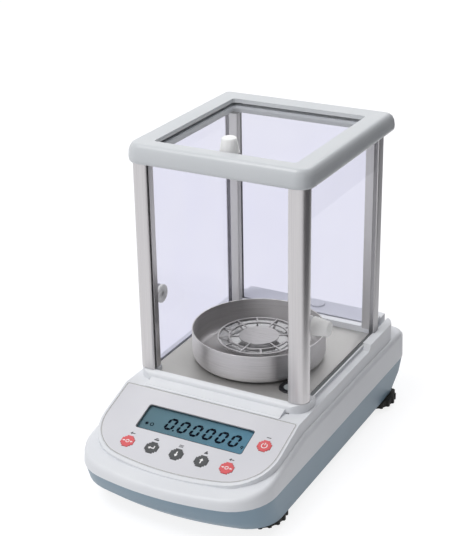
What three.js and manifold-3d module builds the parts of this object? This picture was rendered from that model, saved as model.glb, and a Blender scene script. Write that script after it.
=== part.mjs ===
// A semi-micro analytical balance with a glass draft shield, in millimetres, Z up.
// The origin is under the middle of the balance, on the table. The display faces -Y.
import * as THREE from "three";
import { mergeVertices } from "three/addons/utils/BufferGeometryUtils.js";
import Module from "manifold-3d";

const wasm = await Module();
wasm.setup();

// General fits
const gap = 0.3;
const runningGap = 0.5;
const overrun = 1;
const weld = 1e-4;
const roundSides = 36;
const smallSides = 16;

// Housing outline at the joint between the two shells
const bodyHalfWidth = 105.6;
const bodyFront = -188.5;
const bodyRear = 209.5;
const bodyFrontRadius = 309;
const bodyFrontCorner = 48;
const bodyRearCorner = 21;
const shoulderRake = 6;
const jointHeight = 44;
const shellWall = 2.6;

// Lower housing
const trayBottom = 12;
const trayFloor = 3;
const trayJointInset = 0.5;
const knuckleHeight = 27;
const knuckleInset = 1.3;
const knuckleRake = 5.2;
const rearRakeShare = 1.4;
const trayBottomInset = 1.4;
const trayBottomRake = 21.6;
const trayBottomCorner = 38;

// Shelf round the upper housing
const upperRise = 55.5;
const platformHeight = jointHeight + upperRise;
const shelfDrop = 23.9;
const shelfHeight = platformHeight - shelfDrop;
const shelfTilt = THREE.MathUtils.degToRad(10);
const shelfBreak = -62;
const shelfRounding = 5;
const shoulderInset = 0.7;
const shelfRoot = 12;

// Plateau that carries the panel, the platform and the ledges
const shelfWidth = 5.3;
const plateauHalfWidth = bodyHalfWidth - shelfWidth;
const plateauFront = -169.5;
const plateauRear = 183;
const plateauFrontRadius = 290;
const plateauFrontCorner = 49;
const plateauRearCorner = 20;
const platformFront = -59;
const platformEdge = 5;
const platformCorner = 20;
const platformInset = 2.6;
const platformFoot = 11.4;
const platformFillet = 1.5;

// Sloping panel
const panelTop = -72;
const panelDrop = 9;
const panelHeight = platformHeight - panelDrop;
const panelTilt = THREE.MathUtils.degToRad(18.5);
const overlayThickness = 0.5;
const overlaySideMargin = 2.5;
const overlayHalfWidth = plateauHalfWidth - overlaySideMargin;
const overlayLength = 98;
const overlayFrontRadius = 300;
const overlayFrontCorner = 48;
const overlayRearCorner = 2;
const overlayTopDrop = 1.5;
const overlayGroove = 0.4;

// Display
const displayCentreX = 1.5;
const displayCentreV = -38.5;
const displaySideMargin = 37.8;
const displayWidth = 2 * (overlayHalfWidth - displaySideMargin);
const displayHeight = 31.5;
const displayCorner = 2;
const windowThickness = 1.6;
const windowMargin = 1.5;
const moduleThickness = 5;
const moduleMargin = 6;
const boardThickness = 1.6;
const displayBoardMargin = 24;
const displayBoardWidth = displayWidth + 2 * displayBoardMargin;
const displayBoardTopV = -14;
const displayBoardLowV = -86;

// Keys
const keyPitch = 28.1;
const keyRowV = -74.5;
const keyRowCount = 5;
const sideKeyMargin = 18.8;
const sideKeyX = overlayHalfWidth - sideKeyMargin;
const sideKeyV = -37.4;
const keySize = 14;
const keyStep = 1.8;
const keyProud = 0.5;
const keyThickness = 3.4;
const keyFlange = 1.6;
const keyFlangeThickness = 1.2;
const keyTravelRoom = 0.9;

// Glass chamber
const doorSetback = 13.3;
const doorInner = plateauHalfWidth - doorSetback;
const postLength = 227.7;
const frameBottom = platformHeight + postLength;
const glassThickness = 3;
const recessInset = 0.2;
const recessHalfWidth = doorInner - recessInset;
const recessFrontInset = 10;
const recessFrontHalfWidth = doorInner - recessFrontInset;
const recessCornerEnd = -39;
const recessRear = 134.5;
const floorThickness = 1.5;
const floorDrop = 4.4;
const floorHeight = platformHeight - floorDrop;
const frontGlassY = -51.4;
const frontGlassInset = 6;
const frontGlassHalfWidth = doorInner - frontGlassInset;
const rearGlassY = 143;
const rearGlassInset = 8.5;
const rearGlassHalfWidth = doorInner - rearGlassInset;

// Side doors
const doorFront = -43.5;
const doorRear = 147.5;
const doorDrop = 8.5;
const doorBottom = floorHeight - doorDrop;
const doorRise = 6;
const doorTop = frameBottom + doorRise;
const doorKnobY = -21;
const doorKnobRise = 77.9;
const doorKnobHeight = floorHeight + doorKnobRise;

// Door tracks and ledges
const trackLeg = 2;
const trackWeb = 2;
const ledgeDrop = 9.5;
const ledgeHeight = platformHeight - ledgeDrop;
const ledgeFront = -30;
const ledgeRear = 108;
const ledgeRamp = 5;
const sillWidth = 1.6;
const sillRise = 4.4;
const railDrop = 3.5;
const railHeight = platformHeight - railDrop;

// Rear deck
const deckRise = 2.5;
const deckHeight = platformHeight + deckRise;
const deckInset = 0.8;
const deckHalfWidth = doorInner - deckInset;
const deckRear = 176.5;
const deckCorner = 11;
const deckEdge = 2;
const capX = 9.4;
const capY = 165.5;
const capRadius = 8.5;
const capHeight = 1.8;
const capStem = 6;
const capEdge = 0.6;

// Posts
const frontPostReach = 9.5;
const frontPostSpread = 9.6;
const frontPostInner = doorInner - frontPostReach;
const frontPostOuter = doorInner + frontPostSpread;
const frontPostFront = -54;
const frontPostDepth = 14;
const frontPostCorner = 10;
const rearPostInset = 0.6;
const rearPostWidth = 9.8;
const rearPostInner = doorInner - rearPostInset - rearPostWidth;
const rearPostSlot = doorInner - rearPostInset;
const rearPostLip = 1.7;
const rearPostFront = 135.3;
const rearPostDepth = 12.6;
const rearPostFoot = 3.4;
const postEdge = 1.5;

// Top frame
const frameHeight = 19.8;
const frameTop = frameBottom + frameHeight;
const frameSpread = 14.4;
const frameHalfWidth = doorInner + frameSpread;
const frameFront = -58.6;
const frameRear = 156.5;
const frameCorner = 17;
const frameRearCorner = 4;
const frameShoulder = 13;
const frameCrestInset = 7.2;
const frameTuck = 2;
const frameTuckHeight = 4;
const frameDish = 1.2;
const openingInset = 9;
const openingHalfWidth = doorInner - openingInset;
const openingFront = -36;
const openingRear = 131;
const openingCorner = 4;
const underCutInset = 2.7;
const underCutHalfWidth = doorInner - underCutInset;
const underCutFront = -46.8;
const underCutRear = 141.4;
const underCutRise = 7.8;
const underCutHeight = frameBottom + underCutRise;
const grooveDepth = 2.8;

// Sliding lid
const lidDrop = 6;
const lidTop = frameTop - lidDrop;
const lidInset = 5;
const lidHalfWidth = doorInner - lidInset;
const lidFront = -38;
const lidRear = 147.5;
const lidKnobY = -23;

// Knobs of the doors and the lid
const knobRadius = 10;
const knobTipRadius = 7.6;
const knobLength = 18;
const knobTipEdge = 1;
const lidKnobLength = 15.6;
const studRadius = 2.2;
const studReach = 2;
const nutRadius = 10;
const nutThickness = 3;

// Weighing pan, carrier and draft ring
const panX = 0;
const panY = 36;
const ringInset = 15;
const ringRadius = doorInner - ringInset;
const ringRoom = 27;
const panRadius = ringRadius - ringRoom;
const panRimWidth = 1.8;
const panMiddleShare = 11 / 15;
const panMiddleRadius = panRadius * panMiddleShare;
const panMiddleWidth = 1.6;
const panDiscShare = 43 / 90;
const panDiscRadius = panRadius * panDiscShare;
const panSpokeWidth = 1.5;
const panThickness = 1.4;
const panRise = 21.2;
const panHeight = floorHeight + panRise;
const panSpokes = 6;
const dishInset = 0.5;
const dishRadius = panRadius - dishInset;
const dishRim = 3;
const dishThickness = 1.2;
const dishDepth = 9;
const stemRadius = 4;
const hubRadius = 9;
const hubHeight = 3;
const ringWall = 1.4;
const ringHeight = 32.9;
const ringTop = floorHeight + ringHeight;
const ringRounding = 8;
const ringHole = 20;
const stemHole = 9;

// Bubble level
const levelInset = 22.7;
const levelX = doorInner - levelInset;
const levelY = -17;
const levelRadius = 12.8;
const levelInner = 8.2;
const levelProud = 1.2;
const levelDepth = 7;
const vialRadius = 7.8;
const vialHeight = 5;

// Feet
const footFrontInset = 30.6;
const footFrontX = bodyHalfWidth - footFrontInset;
const footFrontY = -113;
const footRearInset = 22.6;
const footRearX = bodyHalfWidth - footRearInset;
const footRearY = 152;
const wheelRadius = 29.5;
const wheelFlute = 2.2;
const wheelLobes = 18;
const wheelBottom = 4.5;
const wheelTop = 11.5;
const footStudRadius = 3.8;
const footStudTop = 38;
const footBossRadius = 9;
const footBossTop = 34;
const padRadius = 15;
const padFoot = 1;

// Weighing cell
const cellFloorGap = 0.3;
const cellHalfWidth = 34;
const cellFront = 12;
const cellRear = 138;
const cellPlate = 6;
const columnHalfWidth = 16;
const columnFront = 60;
const columnRear = 84;
const columnDrop = 21.1;
const columnTop = floorHeight - columnDrop;
const leverHalfWidth = 4;
const leverFront = 45.7;
const leverRear = 106;
const leverBottom = 46;
const leverHeight = 8;
const leverSlotHalfWidth = 6;
const pivotY = 72;
const pivotRadius = 2;
const pivotReach = 12;
const hangerHalfWidth = 9;
const hangerFront = 27;
const hangerRear = 45;
const hangerBottom = 30;
const hangerTop = columnTop;
const hangerSocket = 14;
const guideHalfWidth = 13;
const guideThickness = 1.2;
const guideTopHeight = columnTop + gap;
const guideLowHeight = 28;
const guideFront = 27;
const guideRear = 84;
const magnetY = 112;
const magnetRadius = 20;
const magnetBore = 15;
const magnetCoreRadius = 10.5;
const magnetTop = 44;
const magnetFloor = 6;
const coilRadius = 14;
const coilInner = 11.6;
const coilBottom = 32;
const coilCap = 3;

// Boards, sockets and screws
const mainBoardOuterInset = 25.6;
const mainBoardOuter = bodyHalfWidth - mainBoardOuterInset;
const mainBoardCellGap = 6;
const mainBoardInner = cellHalfWidth + mainBoardCellGap;
const mainBoardX = -(mainBoardOuter + mainBoardInner) / 2;
const mainBoardHalfWidth = (mainBoardOuter - mainBoardInner) / 2;
const mainBoardFront = 0;
const mainBoardRear = 120;
const mainBoardHeight = 24;
const standoffRadius = 3;
const standoffInset = 6;
const inletInset = 43.6;
const inletX = bodyHalfWidth - inletInset;
const inletRise = 14;
const inletHeight = jointHeight + inletRise;
const inletWidth = 12;
const inletTall = 12;
const inletLength = 16;
const inletBore = 3.2;
const inletBoreDepth = 10;
const inletPin = 0.8;
const inletPinShort = 2;
const inletLip = 2;
const inletLipMargin = 1.5;
const socketX = 20;
const socketHeight = inletHeight;
const socketWidth = 31;
const socketTall = 12.6;
const socketLength = 11;
const socketMouthWidth = 17;
const socketMouthTall = 8;
const socketMouthDepth = 6;
const screwInset = 18.6;
const screwX = bodyHalfWidth - screwInset;
const screwFrontY = -62;
const screwRearY = 86;
const screwRadius = 1.8;
const screwHeadRadius = 3.6;
const screwHeadThickness = 2.2;
const screwLength = 18;
const pillarRadius = 5;

// Places that follow from the sizes above
const frontPostRear = frontPostFront + frontPostDepth;
const rearPostRear = rearPostFront + rearPostDepth;
const doorOuter = doorInner + glassThickness;
const trackInner = doorInner - runningGap - trackLeg;
const rearPostOuter = doorOuter + runningGap + rearPostLip;
const rearPostSeat = doorBottom - rearPostFoot;
const trackBottom = doorBottom - gap - trackWeb;
const trayTopOfFloor = trayBottom + trayFloor;
const floorSeat = floorHeight - floorThickness - gap;
const postBottom = platformHeight + gap;
const postTop = frameBottom - gap;
const lidBottom = lidTop - glassThickness;
const panelSlope = Math.tan(panelTilt);
const keyCentres = [
  ...Array.from({ length: keyRowCount }, (_, i) => [
    (i - (keyRowCount - 1) / 2) * keyPitch,
    keyRowV,
  ]),
  [sideKeyX, sideKeyV],
];

// Colours and finishes
const finish = (colour, roughness, metalness, opacity = 1) => () =>
  new THREE.MeshStandardMaterial({
    color: colour,
    roughness,
    metalness,
    opacity,
    transparent: opacity < 1,
  });
const white = finish("#e4e6eb", 0.45, 0);
const trayBlue = finish("#7f95a4", 0.5, 0);
const framePaint = finish("#d4d8dc", 0.4, 0);
const filmGrey = finish("#dfdee4", 0.4, 0);
const steel = finish("#a3a4a2", 0.35, 1);
const brushedAluminium = finish("#c9c7c8", 0.4, 1);
const polished = finish("#d8d8d8", 0.12, 1);
const black = finish("#1e201c", 0.6, 0);
const greyPlastic = finish("#8f9494", 0.5, 0);
const redKey = finish("#dc5a5e", 0.5, 0);
const darkKey = finish("#444648", 0.5, 0);
const clear = finish("#dddde9", 0.05, 0, 0.3);
const displayBlue = finish("#5e7c86", 0.3, 0);
const boardGreen = finish("#2f6b45", 0.5, 0);
const castAlloy = finish("#9a9c9e", 0.6, 1);
const copper = finish("#b06a3c", 0.4, 1);
const knobWhite = finish("#f4f4f4", 0.35, 0);
const zinc = finish("#b8bcc0", 0.35, 1);

const balance = new THREE.Group();
balance.position.y = -(bodyFront + bodyRear) / 2;

// Geometry of a solid, with flat faces
function geometryOf(made) {
  const mesh = made.getMesh();
  const geometry = new THREE.BufferGeometry();
  const points = new Float32Array(mesh.vertProperties);
  geometry.setAttribute("position", new THREE.BufferAttribute(points, mesh.numProp));
  geometry.setIndex(new THREE.BufferAttribute(new Uint32Array(mesh.triVerts), 1));
  const flat = geometry.toNonIndexed();
  flat.computeVertexNormals();
  return flat;
}

// A closed geometry as a solid that can be joined and cut
function solid(geometry) {
  const bare = geometry.clone();
  bare.deleteAttribute("normal");
  bare.deleteAttribute("uv");
  const merged = mergeVertices(bare, weld);
  return new wasm.Manifold(
    new wasm.Mesh({
      numProp: 3,
      vertProperties: merged.attributes.position.array,
      triVerts: new Uint32Array(merged.index.array),
    }),
  );
}

// Adds a named piece to the balance, or to a group inside it
function piece(name, made, material, parent = balance) {
  const mesh = new THREE.Mesh(geometryOf(made), material());
  mesh.name = name;
  parent.add(mesh);
  return mesh;
}

function block(x0, x1, y0, y1, z0, z1) {
  const geometry = new THREE.BoxGeometry(
    Math.abs(x1 - x0),
    Math.abs(y1 - y0),
    Math.abs(z1 - z0),
  );
  geometry.translate((x0 + x1) / 2, (y0 + y1) / 2, (z0 + z1) / 2);
  return solid(geometry);
}

function drum(radius, z0, z1, x = 0, y = 0, sides = roundSides) {
  const geometry = new THREE.CylinderGeometry(radius, radius, z1 - z0, sides);
  geometry.rotateX(Math.PI / 2);
  geometry.translate(x, y, (z0 + z1) / 2);
  return solid(geometry);
}

// A closed profile of [radius, height] points turned about the Z axis
function turned(profile, x = 0, y = 0, sides = roundSides) {
  const points = profile.map(([radius, height]) => new THREE.Vector2(radius, height));
  const geometry = new THREE.LatheGeometry(points, sides);
  geometry.rotateX(Math.PI / 2);
  geometry.translate(x, y, 0);
  return solid(geometry);
}

// The same, about a line along X through y, z, with heights measured along X
function turnedAlongX(profile, y, z, side, sides = roundSides) {
  const points = profile.map(([radius, height]) => new THREE.Vector2(radius, height));
  const geometry = new THREE.LatheGeometry(points, sides);
  geometry.rotateZ(-side * (Math.PI / 2));
  geometry.translate(0, y, z);
  return solid(geometry);
}

function plate(points, z0, z1) {
  const shape = new THREE.Shape(points.map(([x, y]) => new THREE.Vector2(x, y)));
  const geometry = new THREE.ExtrudeGeometry(shape, {
    depth: z1 - z0,
    bevelEnabled: false,
  });
  geometry.translate(0, 0, z0);
  return solid(geometry);
}

// A profile of [y, z] points drawn out along X
function bar(points, x0, x1) {
  const shape = new THREE.Shape(points.map(([y, z]) => new THREE.Vector2(y, z)));
  const geometry = new THREE.ExtrudeGeometry(shape, {
    depth: x1 - x0,
    bevelEnabled: false,
  });
  const turn = new THREE.Matrix4().makeBasis(
    new THREE.Vector3(0, 1, 0),
    new THREE.Vector3(0, 0, 1),
    new THREE.Vector3(1, 0, 0),
  );
  geometry.applyMatrix4(turn);
  geometry.translate(x0, 0, 0);
  return solid(geometry);
}

// A skin through loops of equal length, each [x, y, z], closed at both ends
function loft(loops) {
  const count = loops[0].length;
  const positions = loops.flat(2);
  const faces = [];
  for (let level = 0; level + 1 < loops.length; level += 1) {
    for (let i = 0; i < count; i += 1) {
      const low = level * count;
      const high = low + count;
      const next = (i + 1) % count;
      faces.push(low + i, low + next, high + next);
      faces.push(low + i, high + next, high + i);
    }
  }
  const caps = (loop, start, up) => {
    const flat = loop.map(([x, y]) => new THREE.Vector2(x, y));
    for (const [a, b, c] of THREE.ShapeUtils.triangulateShape(flat, [])) {
      faces.push(start + a, start + (up ? b : c), start + (up ? c : b));
    }
  };
  caps(loops[0], 0, false);
  caps(loops[loops.length - 1], (loops.length - 1) * count, true);
  const geometry = new THREE.BufferGeometry();
  geometry.setAttribute("position", new THREE.Float32BufferAttribute(positions, 3));
  geometry.setIndex(faces);
  return solid(geometry);
}

// Points on an arc, where angle 0 is towards -Y and a quarter turn is towards +X
function arc(x, y, radius, from, to, steps) {
  return Array.from({ length: steps + 1 }, (_, i) => {
    const angle = from + ((to - from) * i) / steps;
    return [x + radius * Math.sin(angle), y - radius * Math.cos(angle)];
  });
}

// A loop from its right half, which starts on the middle line in front
function mirrored(right) {
  const left = right
    .slice(1)
    .reverse()
    .map(([x, y]) => [-x, y]);
  return [...right, ...left];
}

// An outline with a bowed front, two front corners and two rear corners
function bowed(o, inset = 0) {
  const halfWidth = o.halfWidth - inset;
  const frontRadius = o.frontRadius - inset;
  const corner = o.frontCorner - inset;
  const rearCorner = Math.max(o.rearCorner - inset, gap);
  const rear = o.rear - inset;
  const frontCentre = o.front + o.frontRadius;
  const cornerX = halfWidth - corner;
  const reach = frontRadius - corner;
  const cornerY = frontCentre - Math.sqrt(reach * reach - cornerX * cornerX);
  const meet = Math.asin(cornerX / reach);
  const quarter = Math.PI / 2;
  const side = o.sidePoint === undefined ? [] : [[halfWidth, o.sidePoint]];
  const right = [
    ...arc(0, frontCentre, frontRadius, 0, meet, 6),
    ...arc(cornerX, cornerY, corner, meet, quarter, 8).slice(1),
    ...side,
    ...arc(halfWidth - rearCorner, rear - rearCorner, rearCorner, quarter, 2 * quarter, 5),
  ];
  return mirrored(right);
}

function roundedRectangle(x0, x1, y0, y1, radius, steps = 4, rearRadius = radius) {
  const quarter = Math.PI / 2;
  const rear = y1 - rearRadius;
  return [
    ...arc(x1 - radius, y0 + radius, radius, 0, quarter, steps),
    ...arc(x1 - rearRadius, rear, rearRadius, quarter, 2 * quarter, steps),
    ...arc(x0 + rearRadius, rear, rearRadius, 2 * quarter, 3 * quarter, steps),
    ...arc(x0 + radius, y0 + radius, radius, 3 * quarter, 4 * quarter, steps),
  ];
}

function raised(loop, height) {
  return loop.map(([x, y]) => [x, y, typeof height === "function" ? height(y) : height]);
}

// The outlines of the housing
const bodyOutline = {
  halfWidth: bodyHalfWidth,
  front: bodyFront,
  rear: bodyRear,
  frontRadius: bodyFrontRadius,
  frontCorner: bodyFrontCorner,
  rearCorner: bodyRearCorner,
  sidePoint: shelfBreak,
};
const plateauOutline = {
  halfWidth: plateauHalfWidth,
  front: plateauFront,
  rear: plateauRear,
  frontRadius: plateauFrontRadius,
  frontCorner: plateauFrontCorner,
  rearCorner: plateauRearCorner,
};
const shelfAt = (drop) => (y) =>
  shelfHeight - Math.tan(shelfTilt) * Math.max(0, shelfBreak - y) - drop;
const panelAt = (y) => panelHeight - panelSlope * (panelTop - y);

// Line of the top surface from the front edge back to the rear, as [y, z] points
function topLine(drop) {
  const wallFoot = platformFront - platformFoot;
  const start = bodyFront - overrun;
  const fillet = arc(
    wallFoot - platformFillet,
    panelAt(wallFoot) + platformFillet,
    platformFillet,
    panelTilt,
    Math.PI / 2.6,
    4,
  );
  const edge = arc(
    platformFront + platformEdge,
    platformHeight - platformEdge,
    platformEdge,
    Math.PI * 1.5,
    Math.PI,
    4,
  );
  return [[start, panelAt(start)], ...fillet, ...edge].map(([y, z]) => [y, z - drop]);
}

// Everything above the top surface of the housing, lowered by a drop
function aboveTop(drop, flat) {
  const high = deckHeight + platformHeight;
  const line = topLine(drop);
  const rear = bodyRear + overrun;
  const points = [...line, [rear, flat], [rear, high], [bodyFront - overrun, high]];
  return bar(points, -bodyHalfWidth - overrun, bodyHalfWidth + overrun);
}

// Joins pieces of one solid
function joined(first, ...others) {
  return others.reduce((sum, other) => sum.add(other), first);
}

function cut(from, ...tools) {
  return tools.reduce((rest, tool) => rest.subtract(tool), from);
}

const bothSides = (make) => [make(-1), make(1)];
const sideBlock = (side, x0, x1, y0, y1, z0, z1) => block(side * x0, side * x1, y0, y1, z0, z1);

// Places of the feet and the case screws
const footPlaces = {
  front_left: [-footFrontX, footFrontY],
  front_right: [footFrontX, footFrontY],
  rear_left: [-footRearX, footRearY],
  rear_right: [footRearX, footRearY],
};
const screwPlaces = {
  front_left: [-screwX, screwFrontY],
  front_right: [screwX, screwFrontY],
  rear_left: [-screwX, screwRearY],
  rear_right: [screwX, screwRearY],
};

// Lower housing: a tray with a bevelled lower edge, foot bosses and board standoffs
function lowerHousing() {
  const raked = (rake, frontCorner = bodyFrontCorner) => ({
    ...bodyOutline,
    front: bodyFront + rake,
    rear: bodyRear - rearRakeShare * rake,
    frontCorner,
  });
  const bottom = raked(trayBottomRake, trayBottomCorner);
  const knuckle = raked(knuckleRake);
  const outer = loft([
    raised(bowed(bottom, trayBottomInset), trayBottom),
    raised(bowed(knuckle, knuckleInset), knuckleHeight),
    raised(bowed(bodyOutline, trayJointInset), jointHeight),
  ]);
  const inner = loft([
    raised(bowed(bottom, trayBottomInset + shellWall), trayTopOfFloor),
    raised(bowed(knuckle, knuckleInset + shellWall), knuckleHeight + trayFloor),
    raised(bowed(bodyOutline, trayJointInset + shellWall), jointHeight + overrun),
  ]);
  const bosses = Object.values(footPlaces).map(([x, y]) =>
    drum(footBossRadius, trayBottom, footBossTop, x, y, smallSides),
  );
  const standoffs = standoffPlaces().map(([x, y]) =>
    drum(standoffRadius, trayBottom, mainBoardHeight - gap, x, y, smallSides),
  );
  const shell = joined(cut(outer, inner), ...bosses, ...standoffs);
  const studHoles = Object.values(footPlaces).map(([x, y]) =>
    drum(footStudRadius + gap, 0, footBossTop + overrun, x, y, smallSides),
  );
  const screwHoles = Object.values(screwPlaces).flatMap(([x, y]) => [
    drum(screwRadius + gap, 0, jointHeight, x, y, smallSides),
    drum(screwHeadRadius + gap, 0, trayBottom + screwHeadThickness / 2, x, y, smallSides),
  ]);
  piece("lower_housing", cut(shell, ...studHoles, ...screwHoles), trayBlue);
}

function standoffPlaces() {
  const reach = mainBoardHalfWidth - standoffInset;
  return [
    [mainBoardX - reach, mainBoardFront + standoffInset],
    [mainBoardX + reach, mainBoardFront + standoffInset],
    [mainBoardX - reach, mainBoardRear - standoffInset],
    [mainBoardX + reach, mainBoardRear - standoffInset],
  ];
}

// Outer form of the upper housing: skirt with its shelf, plateau and rear deck
function upperForm() {
  const bottom = jointHeight + gap;
  const shoulder = (share) => ({ ...bodyOutline, rear: bodyRear - shoulderRake * share });
  const rounding = [0, 1 / 3, 2 / 3, 1].map((share) => {
    const angle = (share * Math.PI) / 2;
    const inset = shoulderInset + shelfRounding * (1 - Math.cos(angle));
    const drop = shelfRounding * (1 - Math.sin(angle));
    return raised(bowed(shoulder(share), inset), shelfAt(drop));
  });
  const skirt = loft([
    raised(bowed(bodyOutline), bottom),
    ...rounding,
    raised(bowed(shoulder(1), shelfRoot), shelfAt(0)),
  ]);
  const plateau = plate(bowed(plateauOutline), bottom + shellWall, platformHeight);
  const corners = bothSides((side) => {
    const edge = plateauHalfWidth - platformInset;
    const x = edge - platformCorner;
    const y = platformFront + platformCorner;
    const corner = sideBlock(side, x, x + bodyHalfWidth, y - bodyHalfWidth, y, 0, deckHeight);
    const flank = sideBlock(side, edge, bodyHalfWidth, y, ledgeFront, ledgeHeight, deckHeight);
    const round = drum(platformCorner, 0, deckHeight, side * x, y);
    return joined(cut(corner, round, panelWedge()), flank);
  });
  const deck = loft([
    raised(deckLoop(0), bottom + shellWall),
    raised(deckLoop(0), deckHeight - deckEdge),
    raised(deckLoop(deckEdge / 4), deckHeight - deckEdge / 4),
    raised(deckLoop(deckEdge), deckHeight),
  ]);
  const body = cut(plateau, aboveTop(0, platformHeight), ...corners);
  return joined(skirt, body, deck);
}

// The space under the panel plane and under the ledges
function panelWedge() {
  const y0 = bodyFront - overrun;
  const y1 = platformFront + platformCorner + overrun;
  const ledgeStart = panelTop + (ledgeHeight - panelHeight) / panelSlope;
  const points = [
    [y0, 0],
    [y1, 0],
    [y1, ledgeHeight],
    [ledgeStart, ledgeHeight],
    [y0, panelAt(y0)],
  ];
  return bar(points, -bodyHalfWidth - overrun, bodyHalfWidth + overrun);
}

function deckLoop(inset) {
  return roundedRectangle(
    -deckHalfWidth + inset,
    deckHalfWidth - inset,
    recessRear,
    deckRear - inset,
    deckCorner - inset,
  ).map(([x, y]) => [x, Math.max(y, recessRear)]);
}

// Hollow inside of the upper housing
function upperHollow() {
  const bottom = jointHeight + gap - overrun;
  const skirt = loft([
    raised(bowed(bodyOutline, shellWall), bottom),
    raised(bowed(bodyOutline, shoulderInset + shellWall), shelfAt(shelfRounding + shellWall)),
    raised(bowed(bodyOutline, shelfRoot), shelfAt(shellWall)),
  ]);
  const panel = cut(
    plate(bowed(plateauOutline, shellWall), jointHeight, deckHeight),
    aboveTop(shellWall / Math.cos(panelTilt), platformHeight),
    block(
      -bodyHalfWidth,
      bodyHalfWidth,
      platformFront - platformFoot - shellWall,
      bodyRear,
      0,
      deckHeight,
    ),
  );
  const ceiling = floorSeat - shellWall;
  const underFloor = block(
    -trackInner + shellWall,
    trackInner - shellWall,
    platformFront,
    recessRear + 2 * shellWall,
    jointHeight,
    ceiling,
  );
  const underDeck = block(
    -rearPostInner + shellWall + gap,
    rearPostInner - shellWall - gap,
    recessRear + shellWall,
    deckRear - deckCorner / 2,
    jointHeight,
    deckHeight - shellWall,
  );
  const ledges = bothSides((side) =>
    sideBlock(
      side,
      doorOuter + runningGap + shellWall,
      plateauHalfWidth - shellWall,
      ledgeFront + shellWall,
      ledgeRear,
      jointHeight,
      ledgeHeight - shellWall,
    ),
  );
  return joined(skirt, panel, underFloor, underDeck, ...ledges);
}

// Cuts for the chamber floor, the posts, the doors and the glass
function chamberCuts() {
  const high = deckHeight + overrun;
  const glassSlotFront = frontGlassY - gap;
  const glassSlotRear = frontGlassY + glassThickness + gap;
  const recess = joined(
    block(-recessHalfWidth, recessHalfWidth, recessCornerEnd, recessRear, floorSeat, high),
    block(
      -recessFrontHalfWidth,
      recessFrontHalfWidth,
      glassSlotFront,
      recessCornerEnd + overrun,
      floorSeat,
      high,
    ),
    block(
      -frontGlassHalfWidth - gap,
      frontGlassHalfWidth + gap,
      glassSlotFront,
      glassSlotRear,
      floorSeat,
      high,
    ),
  );
  const rearSlot = block(
    -rearGlassHalfWidth - gap,
    rearGlassHalfWidth + gap,
    rearGlassY - gap,
    rearGlassY + glassThickness + gap,
    deckHeight - floorThickness,
    high,
  );
  const sides = bothSides((side) => {
    const outer = doorOuter + runningGap;
    const far = plateauHalfWidth + overrun;
    const ramp = [
      [ledgeFront, ledgeHeight],
      [ledgeRear - ledgeRamp, ledgeHeight],
      [ledgeRear, railHeight],
      [bodyRear, railHeight],
      [bodyRear, high],
      [ledgeFront, high],
    ];
    const near = outer + sillWidth;
    const x0 = side > 0 ? near : -far;
    const x1 = side > 0 ? far : -near;
    const sillTop = Math.min(ledgeHeight + sillRise, railHeight);
    return joined(
      bar(ramp, x0, x1),
      sideBlock(side, outer - overrun, near + overrun, ledgeFront, ledgeRear, sillTop, high),
      sideBlock(side, outer - overrun, near + overrun, ledgeRear - overrun, bodyRear, railHeight, high),
      sideBlock(side, trackInner - gap, outer, doorFront - gap, recessRear, trackBottom - gap, high),
      sideBlock(side, deckHalfWidth, outer, recessRear - overrun, bodyRear, doorBottom - gap, high),
      sideBlock(
        side,
        rearPostInner - gap,
        rearPostOuter + gap,
        rearPostFront - gap,
        rearPostRear + gap,
        rearPostSeat,
        high,
      ),
    );
  });
  return [recess, rearSlot, ...sides];
}

// Cuts in the panel for the overlay, the window, the module and the keys
function panelCuts() {
  const depth = overlayThickness + gap;
  const overlay = plate(overlayLoop(-overlayGroove), -depth, keyThickness);
  const window = plate(displayLoop(windowMargin + gap), -shellWall * 2, 0);
  const keys = keyCentres.map(([x, v]) => plate(keyLoop(x, v, gap), -shellWall * 2, 0));
  return joined(overlay, window, ...keys).transform(panelMatrix().toArray());
}

function panelMatrix() {
  return new THREE.Matrix4()
    .makeRotationX(panelTilt)
    .setPosition(0, panelTop, panelHeight);
}

function overlayLoop(inset) {
  const outline = {
    halfWidth: overlayHalfWidth,
    front: -overlayLength,
    rear: -overlayTopDrop,
    frontRadius: overlayFrontRadius,
    frontCorner: overlayFrontCorner,
    rearCorner: overlayRearCorner,
  };
  return bowed(outline, inset).map(([x, y]) => [x, y]);
}

function displayLoop(margin) {
  const halfWidth = displayWidth / 2 + margin;
  const halfHeight = displayHeight / 2 + margin;
  return roundedRectangle(
    displayCentreX - halfWidth,
    displayCentreX + halfWidth,
    displayCentreV - halfHeight,
    displayCentreV + halfHeight,
    displayCorner,
  );
}

// A square whose corners are cut back in two steps
function keyLoop(x, v, margin) {
  const half = keySize / 2 + margin;
  const corner = [
    [half, half - 2 * keyStep],
    [half - keyStep, half - 2 * keyStep],
    [half - keyStep, half - keyStep],
    [half - 2 * keyStep, half - keyStep],
    [half - 2 * keyStep, half],
  ];
  const quarterTurn = ([a, b]) => [-b, a];
  let points = corner;
  const loop = [];
  for (let i = 0; i < 4; i += 1) {
    loop.push(...points);
    points = points.map(quarterTurn);
  }
  return loop.map(([a, b]) => [x + a, v + b]);
}

// Screw pillars that hang from the shelf down to the tray floor
function pillars() {
  return Object.values(screwPlaces).map(([x, y]) =>
    drum(pillarRadius, trayTopOfFloor + gap, shelfHeight, x, y, smallSides),
  );
}

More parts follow.
